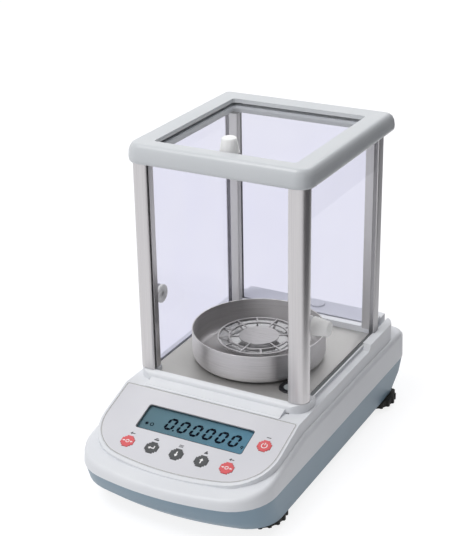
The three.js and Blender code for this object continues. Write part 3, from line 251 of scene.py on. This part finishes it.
def clear_sheet(name, tint, edge, thin_axis, gloss_roughness=0.02, gloss_index=1.16):
    """Clear sheet: a faint tint on each face, a reflection that grows at grazing angles, darker cut edges."""
    material, tree, out = blank(name)
    geometry = add(tree, "ShaderNodeNewGeometry")
    facing = add(tree, "ShaderNodeSeparateXYZ", {}, {"Vector": geometry.outputs["Normal"]})
    size = add(tree, "ShaderNodeMath", {"operation": "ABSOLUTE"}, {0: facing.outputs[thin_axis]})
    is_edge = add(tree, "ShaderNodeMath", {"operation": "LESS_THAN", 1: CUT_EDGE_BELOW}, {0: size})
    smears = add(
        tree, "ShaderNodeTexNoise", {"Scale": 1 / SMEAR_SIZE, "Detail": 2}, {"Vector": millimetres(tree)}
    )
    colour = add(tree, "ShaderNodeValToRGB", {}, {"Fac": smears}, zip(RAMP_ENDS, tint))
    tinted = add(tree, "ShaderNodeBsdfTransparent", {}, {"Color": colour})
    clear = add(tree, "ShaderNodeBsdfTransparent", {"Color": linear(WHITE)})
    path = add(tree, "ShaderNodeLightPath")
    looked = add(
        tree,
        "ShaderNodeMath",
        {"operation": "MAXIMUM"},
        {0: path.outputs["Is Camera Ray"], 1: path.outputs["Is Transmission Ray"]},
    )
    through = add(tree, "ShaderNodeMixShader", {}, {0: looked, 1: clear, 2: tinted})
    mirror = add(tree, "ShaderNodeBsdfGlossy", {"Color": linear(WHITE), "Roughness": gloss_roughness})
    outer = add(
        tree, "ShaderNodeMath", {"operation": "SUBTRACT", 0: 1.0}, {1: geometry.outputs["Backfacing"]}
    )
    grazing = add(tree, "ShaderNodeFresnel", {"IOR": gloss_index})
    amount = add(tree, "ShaderNodeMath", {"operation": "MULTIPLY"}, {0: grazing, 1: outer})
    face = add(tree, "ShaderNodeMixShader", {}, {0: amount, 1: through, 2: mirror})
    rim = add(
        tree,
        "ShaderNodeBsdfPrincipled",
        {"Base Color": linear(edge), "Roughness": CUT_EDGE_ROUGHNESS, "IOR": PLAIN_INDEX},
    )
    cut_edge = add(tree, "ShaderNodeMath", {"operation": "MULTIPLY"}, {0: is_edge, 1: outer})
    whole = add(tree, "ShaderNodeMixShader", {}, {0: cut_edge, 1: face, 2: rim})
    tree.links.new(whole.outputs[0], out.inputs[0])
    return material


PAN_AXIS = (0.0, 25.5)
COIL_AXIS = (0, 0)
DISH_RADIUS = 40
PAN_BRUSHING_TURN = (0, 0, 0.7)

# ABS, moulded in a spark-eroded tool: an even satin white with a cool cast
white_abs = moulded("white_satin_abs", "#E3E5EA", "#E7E9ED", roughness=0.4)
# ABS in blue-grey, satin, a little glossier than the upper shell
tray_abs = moulded("blue_grey_abs", "#7B93A4", "#7F97A8", roughness=0.36)
# Aluminium die casting under a satin powder coat: pale grey, with the coat's slight orange peel
powder_coat = moulded("grey_white_powder_coat", "#CBCFD3", "#CFD2D6", roughness=0.3, grain=1.6, depth=0.01)
# Polyester film, printed on its back: the print is even and the face has a fine matt texture
printed_film = moulded(
    "printed_polyester_film", "#D9D9DF", "#DCDCE1", roughness=0.5, grain=0.7, depth=0.003, index=1.4
)
# A matt olive line just inside the edge of the film
olive_border = moulded("olive_border_line", "#75745F", "#7D7C67", roughness=0.5)
# Moulded silicone of the keys: satin red and satin charcoal
red_silicone = moulded("red_silicone", "#DB5A5E", "#E0646A", roughness=0.45)
charcoal_silicone = moulded("charcoal_silicone", "#424446", "#494B4D", roughness=0.45)
# Screen-printed ink of the marks: matt, off-white on the keys and charcoal on the film
white_ink = moulded("white_key_ink", "#F0EEEF", "#F6F5F6", roughness=0.5)
dark_ink = moulded("dark_print_ink", "#3A3B40", "#45464B", roughness=0.5)
# Anodised aluminium extrusion: fine lengthwise die lines under a satin anodic film
anodised = brushed(
    "anodised_aluminium", "#BEBCBD", "#CFCDCE", roughness=0.36, along=2, thread=0.6, length=120
)
# The same extrusion under a thicker anodic film on the rear posts: more even and more matt
rear_anodised = brushed(
    "grey_anodised_aluminium", "#C4C3C5", "#CDCCCE", roughness=0.55, along=2, thread=0.6, length=120
)
# Stainless steel sheet, brushed across the chamber: a matt warm grey with short streaks
floor_steel = brushed(
    "brushed_stainless_sheet", "#B2B1AE", "#C1C0BD", roughness=0.5, along=0, thread=0.5, length=40
)
# Stainless steel, spun into a cup and brushed round its axis: soft light and dark bands down its wall
ring_steel = spun("spun_stainless_ring", "#B8B6B6", "#D3D1D1", roughness=0.46, centre=PAN_AXIS, thread=0.6)
# Stainless steel blanking, brushed one way across the disc
pan_steel = brushed(
    "brushed_stainless_pan",
    "#A9A7A8",
    "#C6C4C5",
    roughness=0.32,
    along=0,
    thread=0.45,
    length=25,
    turn=PAN_BRUSHING_TURN,
)
# Stainless steel dish, turned and polished: mirror-like with faint turning marks
dish_steel = spun(
    "polished_stainless_dish", "#B8B8B8", "#CCCCCC", roughness=0.16, centre=PAN_AXIS, radius=DISH_RADIUS
)
# Acetal knobs, moulded and tumbled: smooth, white and a little translucent
knob_acetal = moulded("white_acetal", "#F8F8F9", "#FCFCFC", roughness=0.25, glow_through=6)
# Glass-filled nylon of the feet: near black, with a slight shine on its lobes
foot_nylon = moulded("black_nylon", "#11120F", "#171813", roughness=0.42, index=1.3)
# Moulded rubber of the foot pads: dull black
pad_rubber = moulded("black_rubber", "#141414", "#1C1C1C", roughness=0.7)
# Extruded PVC of the door tracks: satin pale grey
track_pvc = moulded("grey_pvc", "#D3D7D8", "#DBDFE0", roughness=0.4)
# Moulded ABS of the level's ring and the power inlet: satin black
black_abs = moulded("black_abs", "#17181A", "#1F2022", roughness=0.33)
# Segments of the liquid crystal display: near-black navy that reflects hardly anything
lcd_ink = moulded("lcd_segment", "#080D1A", "#0B111F", roughness=0.5, index=1.05)
# Zinc-plated steel of the screws, guides and data socket: bright, cool grey
zinc = brushed("zinc_plated_steel", "#B4B8BB", "#C4C8CA", roughness=0.35, along=0, thread=1.2, length=10)
# Sand-cast aluminium of the weighing cell: dull grey and coarse
casting = moulded("cast_aluminium", "#9A9C9E", "#A6A8AA", roughness=0.55, grain=1.2, depth=0.02)
# Ground steel of the magnet can: dark grey with fine straight marks
ground_steel = brushed("ground_steel", "#6F7073", "#808184", roughness=0.3, along=1, thread=0.5, length=20)
# Enamelled copper wire, wound round the coil: reddish brown turns
winding = spun(
    "enamelled_copper", "#A8653A", "#BD7745", roughness=0.35, centre=COIL_AXIS, thread=0.4, length=40
)
# Solder mask on glass-fibre board: glossy green
solder_mask = moulded("green_solder_mask", "#2C6A43", "#347A4D", roughness=0.3)

# Soda-lime float glass: lavender-grey in the mass, with a dark green cut edge
FAINT_TINT = ("#FAFAFC", "#FBFBFD")
FULL_TINT = ("#EFEFF5", "#F0F0F5")
GLASS_EDGE = "#7C8A86"
float_glass = {
    axis: clear_sheet("float_glass_" + axis.lower(), FAINT_TINT, GLASS_EDGE, axis) for axis in "XYZ"
}
grey_glass = {axis: clear_sheet("grey_glass_" + axis.lower(), FULL_TINT, GLASS_EDGE, axis) for axis in "XY"}
# Vial of the bubble level: pale fluid behind polished acrylic, silvery with sharp glints
level_fluid = moulded("level_vial_fluid", "#8F9596", "#B4BABA", roughness=0.1, grain=4.0, depth=0.05)
# Cast acrylic window over the display: clear, with a matt face
window_acrylic = clear_sheet(
    "clear_acrylic", ("#FAFAFB", "#FBFBFC"), "#3A434A", "Z", gloss_roughness=0.3, gloss_index=1.1
)

LCD_X = (-60, 62)
LCD_FIELD = [(0.0, "#66838D"), (0.45, "#668996"), (1.0, "#6592A8")]
LCD_GRAIN = 0.8
LCD_RELIEF_M = 0.00002
LCD_BUMP = 0.1
LCD_ROUGHNESS, LCD_INDEX = 0.5, 1.1


def lcd_face():
    """Polarising film of the display: blue-grey, deeper towards the right, with a faint matt texture."""
    material, tree, out = blank("reflective_lcd")
    place = add(tree, "ShaderNodeSeparateXYZ", {}, {"Vector": millimetres(tree)})
    across = add(
        tree,
        "ShaderNodeMapRange",
        {"From Min": LCD_X[0], "From Max": LCD_X[1]},
        {"Value": place.outputs["X"]},
    )
    field = add(tree, "ShaderNodeValToRGB", {}, {"Fac": across}, LCD_FIELD)
    film = add(
        tree, "ShaderNodeTexNoise", {"Scale": 1 / LCD_GRAIN, "Detail": 2}, {"Vector": millimetres(tree)}
    )
    bump = add(tree, "ShaderNodeBump", {"Strength": LCD_BUMP, "Distance": LCD_RELIEF_M}, {"Height": film})
    skin = add(
        tree,
        "ShaderNodeBsdfPrincipled",
        {"Roughness": LCD_ROUGHNESS, "IOR": LCD_INDEX},
        {"Base Color": field, "Normal": bump},
    )
    tree.links.new(skin.outputs[0], out.inputs[0])
    return material


lcd = lcd_face()

# ---------------------------------------------------------------- CAD nodes

WELD_REACH_M = 2e-6
FLAT_WITHIN = math.radians(0.4)
ROUNDED_FROM = math.radians(32)


def dress(name, finish, edge, sides):
    """Gives a CAD node its finish, joins its facets and rounds its edges by a fraction of a millimetre."""
    piece = nodes[name]
    piece.data.materials.clear()
    piece.data.materials.append(finish)
    if not edge:
        return
    piece.data.shade_smooth()
    weld = piece.modifiers.new("joined_facets", "WELD")
    weld.merge_threshold = WELD_REACH_M
    flats = piece.modifiers.new("whole_flats", "DECIMATE")
    flats.decimate_type = "DISSOLVE"
    flats.angle_limit = FLAT_WITHIN
    rounding = piece.modifiers.new("rounded_edges", "BEVEL")
    rounding.width = edge / MM
    rounding.segments = sides
    rounding.limit_method = "ANGLE"
    rounding.angle_limit = ROUNDED_FROM
    rounding.use_clamp_overlap = True
    normals = piece.modifiers.new("even_normals", "WEIGHTED_NORMAL")
    normals.keep_sharp = True


SIDES = ("left", "right")
FEET = ("front_left", "front_right", "rear_left", "rear_right")
RED_KEYS = (1, 5, 6)
DARK_KEYS = (2, 3, 4)

# Each row has the pieces, their finish, the rounding of their edges in mm, and its number of facets
FINISHES = [
    (["lower_housing"], tray_abs, 0.8, 3),
    (["upper_housing"], white_abs, 1.6, 4),
    (["rear_deck_cap"], white_abs, 0.4, 2),
    (["keypad_overlay"], printed_film, 0.1, 2),
    (["display_window"], window_acrylic, 0, 0),
    (["display_module"], lcd, 0, 0),
    (["display_board"], solder_mask, 0, 0),
    (["chamber_floor_plate"], floor_steel, 0.2, 2),
    (["door_track_" + side for side in SIDES], track_pvc, 0.2, 2),
    (["level_body"], black_abs, 0.5, 3),
    (["level_vial"], level_fluid, 0, 0),
    (["post_front_" + side for side in SIDES], anodised, 0.4, 2),
    (["post_rear_" + side for side in SIDES], rear_anodised, 0.4, 2),
    (["left_door_glass"], grey_glass["X"], 0, 0),
    (["right_door_glass"], float_glass["X"], 0, 0),
    (["front_glass"], float_glass["Y"], 0, 0),
    (["rear_glass"], grey_glass["Y"], 0, 0),
    (["lid_glass"], float_glass["Z"], 0, 0),
    (["left_door_knob", "right_door_knob", "lid_knob"], knob_acetal, 0.6, 3),
    (["left_door_nut", "right_door_nut", "lid_nut"], knob_acetal, 0.4, 2),
    (["top_frame"], powder_coat, 1.2, 3),
    (["weighing_pan"], pan_steel, 0.2, 2),
    (["pan_carrier"], dish_steel, 0.3, 2),
    (["draft_ring"], ring_steel, 0.3, 2),
    (["key_%d" % i for i in RED_KEYS], red_silicone, 0.25, 3),
    (["key_%d" % i for i in DARK_KEYS], charcoal_silicone, 0.25, 3),
    (["foot_wheel_" + foot for foot in FEET], foot_nylon, 0.8, 3),
    (["foot_pad_" + foot for foot in FEET], pad_rubber, 0.5, 2),
    (["case_screw_" + foot for foot in FEET], zinc, 0.2, 2),
    (["guide_upper", "guide_lower", "data_socket"], zinc, 0.2, 2),
    (["cell_base", "cell_hanger", "lever_beam"], casting, 0.2, 2),
    (["coil"], winding, 0.2, 2),
    (["magnet_can"], ground_steel, 0.2, 2),
    (["main_board"], solder_mask, 0.2, 2),
    (["power_inlet"], black_abs, 0.2, 2),
]
for names, finish, edge, sides in FINISHES:
    for name in names:
        dress(name, finish, edge, sides)

# ---------------------------------------------------------------- places on the sloping panel

PANEL_TILT = math.radians(18.5)
PANEL_TOP = (0.0, -82.5, 90.5)


def on_panel(x, v, h=0.0):
    """A point of the panel: x to the right, v up the slope and h out of it, in mm from its top edge."""
    c, s = math.cos(PANEL_TILT), math.sin(PANEL_TILT)
    return Vector((x, PANEL_TOP[1] + v * c - h * s, PANEL_TOP[2] + v * s + h * c)) / MM


def inlays(name, shapes, low, high, finish, body):
    """Thin raised shapes on the panel: each is an outline, drawn anticlockwise, from height low to high."""
    mesh = bmesh.new()
    for outline in shapes:
        under = [mesh.verts.new(on_panel(x, v, low)) for x, v in outline]
        over = [mesh.verts.new(on_panel(x, v, high)) for x, v in outline]
        mesh.faces.new(over)
        mesh.faces.new(under[::-1])
        for i in range(len(outline)):
            j = (i + 1) % len(outline)
            mesh.faces.new((under[i], under[j], over[j], over[i]))
    bmesh.ops.recalc_face_normals(mesh, faces=mesh.faces)
    data = bpy.data.meshes.new(name)
    mesh.to_mesh(data)
    mesh.free()
    data.materials.append(finish)
    piece = bpy.data.objects.new(name, data)
    bpy.context.scene.collection.objects.link(piece)
    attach(piece, body)
    return piece


def disc(x, v, radius, steps=20):
    """A round outline."""
    angles = [2 * math.pi * i / steps for i in range(steps)]
    return [(x + radius * math.cos(a), v + radius * math.sin(a)) for a in angles]


def stripe(ax, av, bx, bv, width):
    """A straight bar between two points."""
    length = math.hypot(bx - ax, bv - av)
    nx, nv = -(bv - av) / length * width / 2, (bx - ax) / length * width / 2
    return [(ax - nx, av - nv), (bx - nx, bv - nv), (bx + nx, bv + nv), (ax + nx, av + nv)]


def bars(x, v, rows):
    """Level bars round a centre point: each row has a half length, a rise and a width."""
    return [stripe(x - half, v + rise, x + half, v + rise, width) for half, rise, width in rows]


def hoop(x, v, radius, width, start=0.0, end=2 * math.pi, steps=20):
    """An arc of a thin hoop, as short bars."""
    inner, outer = radius - width / 2, radius + width / 2
    made = []
    for i in range(steps):
        a, b = (start + (end - start) * (i + k) / steps for k in (0, 1))
        points = [(inner, a), (outer, a), (outer, b), (inner, b)]
        made.append([(x + r * math.cos(t), v + r * math.sin(t)) for r, t in points])
    return made


def star(x, v, reach, width):
    """A small star of three crossing bars."""
    turns = [math.pi / 2 + math.pi / 3 * i for i in range(3)]
    arms = [(reach * math.cos(t), reach * math.sin(t)) for t in turns]
    return [stripe(x - dx, v - dv, x + dx, v + dv, width) for dx, dv in arms]


ARROW_WING = 0.75  # half the width of an arrow's head, as a share of its length


def arrow(x, v, dx, dv, length, head, width):
    """An arrow through a centre point, as a shaft and a triangle."""
    tip = (x + dx * length / 2, v + dv * length / 2)
    neck = (tip[0] - dx * head, tip[1] - dv * head)
    tail = (x - dx * length / 2, v - dv * length / 2)
    wing = head * ARROW_WING
    point = [tip, (neck[0] - dv * wing, neck[1] + dx * wing), (neck[0] + dv * wing, neck[1] - dx * wing)]
    return [stripe(*tail, *neck, width), point]


# ---------------------------------------------------------------- display

DIGIT_WIDTH = 10.2
DIGIT_HEIGHT = 16.0
DIGIT_STROKE = 2.75
DIGIT_PITCH = 14.5
DIGIT_LEFT = -32.5
DIGIT_BASE = -46.4
DIGIT_SLANT = 0.16
DIGIT_COUNT = 6
SEGMENT_GAP = 0.2
POINT_PLACE = (DIGIT_LEFT + DIGIT_WIDTH + 1.9, DIGIT_BASE + 0.9)
POINT_RADIUS = 1.0
STAR_PLACE = (-51.5, DIGIT_BASE + 2.0)
STAR_REACH, STAR_STROKE = 2.1, 0.95
RING_PLACE = (-45.5, DIGIT_BASE + 2.0)
RING_RADIUS, RING_STROKE = 1.8, 0.9
UNIT_PLACE = (56.8, DIGIT_BASE + 3.0)
UNIT_RADIUS, UNIT_STROKE = 1.2, 0.8
UNIT_TAIL = (56.8, DIGIT_BASE + 0.2, 58.0, DIGIT_BASE + 3.4)
LCD_TOP = -3.2
FIGURE_SINK = 0.02
FIGURE_HEIGHT = 0.15


def leaning(points, x, v):
    """Moves a digit's points to their place and leans them to the right."""
    return [(x + px + pv * DIGIT_SLANT, v + pv) for px, pv in points]


def segment(a, b):
    """One bar of a digit between two corners of it, pointed at both ends."""
    (ax, av), (bx, bv) = a, b
    length = math.hypot(bx - ax, bv - av)
    ux, uv = (bx - ax) / length, (bv - av) / length
    half = DIGIT_STROKE / 2
    start, end = SEGMENT_GAP, length - SEGMENT_GAP
    along = [(start, 0), (start + half, -half), (end - half, -half), (end, 0), (end - half, half)]
    along.append((start + half, half))
    return [(ax + ux * s - uv * t, av + uv * s + ux * t) for s, t in along]


def zero(x, v):
    """The six outer bars of a seven-segment nought."""
    inset = DIGIT_STROKE / 2
    left, right = inset, DIGIT_WIDTH - inset
    low, middle, high = inset, DIGIT_HEIGHT / 2, DIGIT_HEIGHT - inset
    corners = [(left, low), (right, low), (right, middle), (right, high), (left, high), (left, middle)]
    return [leaning(segment(a, b), x, v) for a, b in zip(corners, corners[1:] + corners[:1])]


def display_figures():
    """Six noughts with the point after the first, a star and a ring at the left, a unit mark at the right."""
    lefts = [DIGIT_LEFT + i * DIGIT_PITCH for i in range(DIGIT_COUNT)]
    figures = [bar for left in lefts for bar in zero(left, DIGIT_BASE)]
    figures.append(disc(*POINT_PLACE, POINT_RADIUS))
    figures += star(*STAR_PLACE, STAR_REACH, STAR_STROKE)
    figures += hoop(*RING_PLACE, RING_RADIUS, RING_STROKE)
    figures += hoop(*UNIT_PLACE, UNIT_RADIUS, UNIT_STROKE)
    figures.append(stripe(*UNIT_TAIL, UNIT_STROKE))
    return figures


inlays(
    "display_figures",
    display_figures(),
    LCD_TOP + FIGURE_SINK,
    LCD_TOP + FIGURE_HEIGHT,
    lcd_ink,
    "housing",
)

# ---------------------------------------------------------------- key marks

KEY_TOP = 0.5
INK_SINK = 0.05
MARK_HEIGHT = 0.06
KEY_V = -74.5
KEY_X = [-56.2 + 28.1 * i for i in range(5)]
POWER_KEY = (79.0, -37.4)
NOUGHT_RADIUS, NOUGHT_STROKE = 1.7, 0.8
NOUGHT_ARROW_PLACE = 4.2
NOUGHT_ARROW = {"length": 3.0, "head": 1.6, "width": 0.8}
POWER_RADIUS, POWER_STROKE = 2.9, 0.9
POWER_OPENING = (math.radians(125), math.radians(415))
POWER_BAR = (0.6, 3.8)
ENTER_PLACE = (-0.6, -0.8)
ENTER_ARROW = {"length": 6.4, "head": 2.4, "width": 1.1}
ENTER_TAIL_X = 2.6
ENTER_TAIL = (-1.3, 2.4)
STEP_ARROW = {"length": 6.4, "head": 2.8, "width": 1.3}


def nought_mark(x, v):
    """The usual mark of a key that sets the reading to nought: arrows towards a small ring."""
    marks = hoop(x, v, NOUGHT_RADIUS, NOUGHT_STROKE)
    for way in (-1, 1):
        marks += arrow(x + way * NOUGHT_ARROW_PLACE, v, -way, 0, **NOUGHT_ARROW)
    return marks


def power_mark(x, v):
    """The usual mark of a power key: an open ring and a bar."""
    low, high = POWER_BAR
    marks = hoop(x, v, POWER_RADIUS, POWER_STROKE, *POWER_OPENING)
    marks.append(stripe(x, v + low, x, v + high, POWER_STROKE))
    return marks


def enter_mark(x, v):
    """A bent arrow."""
    low, high = ENTER_TAIL
    tail = stripe(x + ENTER_TAIL_X, v + low, x + ENTER_TAIL_X, v + high, ENTER_ARROW["width"])
    return arrow(x + ENTER_PLACE[0], v + ENTER_PLACE[1], -1, 0, **ENTER_ARROW) + [tail]


KEY_MARKS = [
    nought_mark(KEY_X[0], KEY_V),
    enter_mark(KEY_X[1], KEY_V),
    arrow(KEY_X[2], KEY_V, 0, -1, **STEP_ARROW),
    arrow(KEY_X[3], KEY_V, 0, 1, **STEP_ARROW),
    nought_mark(KEY_X[4], KEY_V),
    power_mark(*POWER_KEY),
]
for i, marks in enumerate(KEY_MARKS, 1):
    name, body = "key_mark_%d" % i, "key_%d_body" % i
    inlays(name, marks, KEY_TOP - INK_SINK, KEY_TOP + MARK_HEIGHT, white_ink, body)

# ---------------------------------------------------------------- marks on the film

LABEL_RISE = 11.0
LABEL_ARROW = {"length": 5.6, "head": 2.4, "width": 1.0}
SHEET_ROWS = [(2.6, -0.6, 1.5), (1.5, 1.1, 1.0)]
LIST_ROWS = [(2.4, rise, 0.6) for rise in (-1.2, 0, 1.2)]
DASH_ROWS = [(2.4, 0, 0.9)]
WEIGHT_BODY = [(-2.1, -1.4), (2.1, -1.4), (1.5, 0.8), (-1.5, 0.8)]
WEIGHT_KNOB_RISE, WEIGHT_KNOB_RADIUS, WEIGHT_KNOB_STEPS = 1.5, 0.8, 12


def weight_mark(x, v):
    """A small calibration weight."""
    knob = disc(x, v + WEIGHT_KNOB_RISE, WEIGHT_KNOB_RADIUS, WEIGHT_KNOB_STEPS)
    return [[(x + dx, v + dv) for dx, dv in WEIGHT_BODY], knob]


label_v = KEY_V + LABEL_RISE
film_marks = arrow(KEY_X[0], label_v, -1, 0, **LABEL_ARROW) + arrow(KEY_X[4], label_v, -1, 0, **LABEL_ARROW)
film_marks += bars(KEY_X[1], label_v, SHEET_ROWS)
film_marks += bars(KEY_X[2], label_v, LIST_ROWS)
film_marks += weight_mark(KEY_X[3], label_v)
film_marks += bars(POWER_KEY[0], POWER_KEY[1] + LABEL_RISE, DASH_ROWS)
inlays("film_marks", film_marks, -INK_SINK, MARK_HEIGHT, dark_ink, "housing")

# ---------------------------------------------------------------- lines along the film's edge and round the window

FLAT_TOLERANCE = 0.03
SHARPEST_MITRE = 0.2
FILM_LINE_INSET, FILM_LINE_WIDTH, FILM_LINE_HEIGHT = 0.5, 0.36, 0.03
WINDOW_LINE_INSET, WINDOW_LINE_WIDTH, WINDOW_LINE_HEIGHT = -0.6, 0.5, 0.04


def flat_loops(name, height):
    """The edge loops of a node's flat top on the panel, at a height over it, as (x, v) points."""
    c, s = math.cos(PANEL_TILT), math.sin(PANEL_TILT)
    mesh = bmesh.new()
    mesh.from_mesh(nodes[name].data)
    bmesh.ops.remove_doubles(mesh, verts=mesh.verts, dist=WELD_REACH_M)
    mesh.edges.index_update()
    local = {}
    for vertex in mesh.verts:
        x, y, z = vertex.co * MM
        dy, dz = y - PANEL_TOP[1], z - PANEL_TOP[2]
        local[vertex] = (x, dy * c + dz * s, dz * c - dy * s)
    top = {f for f in mesh.faces if all(abs(local[v][2] - height) < FLAT_TOLERANCE for v in f.verts)}
    rest = {e for f in top for e in f.edges if sum(g in top for g in e.link_faces) == 1}
    loops = []
    while rest:
        edge = min(rest, key=lambda e: e.index)
        rest.discard(edge)
        start, here = edge.verts
        chain = [start, here]
        while here is not start:
            edge = next(e for e in here.link_edges if e in rest)
            rest.discard(edge)
            here = edge.other_vert(here)
            chain.append(here)
        loops.append([local[v][:2] for v in chain[:-1]])
    mesh.free()
    return loops


def area_of(loop):
    """Signed area of a closed outline."""
    return sum(ax * bv - bx * av for (ax, av), (bx, bv) in zip(loop, loop[1:] + loop[:1])) / 2


def edge_line(loop, inset, width):
    """A thin line that follows an outline at a distance inside it."""
    if area_of(loop) < 0:
        loop = loop[::-1]
    count = len(loop)
    insides = []
    for i, (x, v) in enumerate(loop):
        (ax, av), (bx, bv) = loop[i - 1], loop[(i + 1) % count]
        before = Vector((x - ax, v - av)).normalized()
        after = Vector((bx - x, bv - v)).normalized()
        inward = Vector((-before.y - after.y, before.x + after.x))
        inward = inward / max(inward.length_squared, SHARPEST_MITRE) * 2
        insides.append(inward)
    near, far = (
        [(x + n.x * d, v + n.y * d) for (x, v), n in zip(loop, insides)] for d in (inset, inset + width)
    )
    return [[near[i], near[j], far[j], far[i]] for i, j in ((i, (i + 1) % count) for i in range(count))]


film_outline, window_outline = sorted(
    flat_loops("keypad_overlay", 0.0), key=lambda loop: -abs(area_of(loop))
)[:2]
film_line = edge_line(film_outline, FILM_LINE_INSET, FILM_LINE_WIDTH)
inlays("film_edge_line", film_line, -INK_SINK, FILM_LINE_HEIGHT, olive_border, "housing")
window_line = edge_line(window_outline, WINDOW_LINE_INSET, WINDOW_LINE_WIDTH)
inlays("window_edge_line", window_line, -INK_SINK, WINDOW_LINE_HEIGHT, lcd_ink, "housing")

# ---------------------------------------------------------------- stage

AMBIENT = 0.5
FLOOR_REACH = 6.0
FLOOR_COLOUR = "#F1F1F2"
FLOOR_SEEN_COLOUR = "#8E8E92"
FLOOR_GLOW = 0.84
CARD_X, CARD_FRONT, CARD_BACK, CARD_FOOT, CARD_TOP = 0.4, -0.3, 1.3, 0.001, 0.9
CARD_COLOUR = "#6C6C6E"


def white_when_seen(tree, amount):
    """One where a camera, glossy or transmission ray looks, and the plain amount for all other light."""
    path = add(tree, "ShaderNodeLightPath")
    seen = add(
        tree,
        "ShaderNodeMath",
        {"operation": "MAXIMUM"},
        {0: path.outputs["Is Camera Ray"], 1: path.outputs["Is Glossy Ray"]},
    )
    seen = add(
        tree, "ShaderNodeMath", {"operation": "MAXIMUM"}, {0: seen, 1: path.outputs["Is Transmission Ray"]}
    )
    return add(tree, "ShaderNodeMapRange", {"To Min": amount, "To Max": 1.0}, {"Value": seen})


def white_world():
    """A white studio: soft light from all round, and plain white where it is seen."""
    world = bpy.data.worlds.new("studio")
    bpy.context.scene.world = world
    world.use_nodes = True
    tree = world.node_tree
    tree.nodes.clear()
    sky = add(
        tree,
        "ShaderNodeBackground",
        {"Color": linear(WHITE)},
        {"Strength": white_when_seen(tree, AMBIENT)},
    )
    add(tree, "ShaderNodeOutputWorld", {}, {"Surface": sky})


def white_floor():
    """A pale floor that shows white and keeps a soft shadow under the balance."""
    mesh = bpy.data.meshes.new("floor")
    r = FLOOR_REACH
    mesh.from_pydata([(-r, -r, 0), (r, -r, 0), (r, r, 0), (-r, r, 0)], [], [(0, 1, 2, 3)])
    floor = bpy.data.objects.new("floor", mesh)
    bpy.context.scene.collection.objects.link(floor)
    material, tree, out = blank("pale_floor")
    lit = add(tree, "ShaderNodeBsdfDiffuse", {"Color": linear(FLOOR_COLOUR)})
    shadow = add(tree, "ShaderNodeBsdfDiffuse", {"Color": linear(FLOOR_SEEN_COLOUR)})
    glow = add(tree, "ShaderNodeEmission", {"Color": linear(WHITE), "Strength": FLOOR_GLOW})
    shown = add(tree, "ShaderNodeAddShader", {}, {0: shadow, 1: glow})
    seen = white_when_seen(tree, 0.0)
    whole = add(tree, "ShaderNodeMixShader", {}, {0: seen, 1: lit, 2: shown})
    tree.links.new(whole.outputs[0], out.inputs[0])
    mesh.materials.append(material)


def right_card():
    """A dark studio card at the right that only shows in reflections and holds off some of the soft light."""
    mesh = bpy.data.meshes.new("right_card")
    corners = [(CARD_FRONT, CARD_FOOT), (CARD_BACK, CARD_FOOT), (CARD_BACK, CARD_TOP), (CARD_FRONT, CARD_TOP)]
    mesh.from_pydata([(CARD_X, y, z) for y, z in corners], [], [(0, 1, 2, 3)])
    card = bpy.data.objects.new("right_card", mesh)
    bpy.context.scene.collection.objects.link(card)
    material, tree, out = blank("right_card_felt")
    felt = add(tree, "ShaderNodeBsdfDiffuse", {"Color": linear(CARD_COLOUR)})
    tree.links.new(felt.outputs[0], out.inputs[0])
    mesh.materials.append(material)
    card.visible_camera = False
    card.visible_shadow = False


def lamp(name, place, aim, size, power):
    """A square soft box."""
    data = bpy.data.lights.new(name, "AREA")
    data.size = size
    data.energy = power
    light = bpy.data.objects.new(name, data)
    light.location = place
    light.rotation_mode = "QUATERNION"
    light.rotation_quaternion = (Vector(aim) - Vector(place)).to_track_quat("-Z", "Y")
    bpy.context.scene.collection.objects.link(light)


white_world()
white_floor()
right_card()
lamp("key_light", place=(-0.75, -1.05, 2.8), aim=(0, 0, 0.15), size=1.4, power=39)
lamp("rear_light", place=(0.3, 1.35, 2.05), aim=(0, 0.1, 0.1), size=1.2, power=14)
bpy.context.scene.view_settings.view_transform = "Standard"
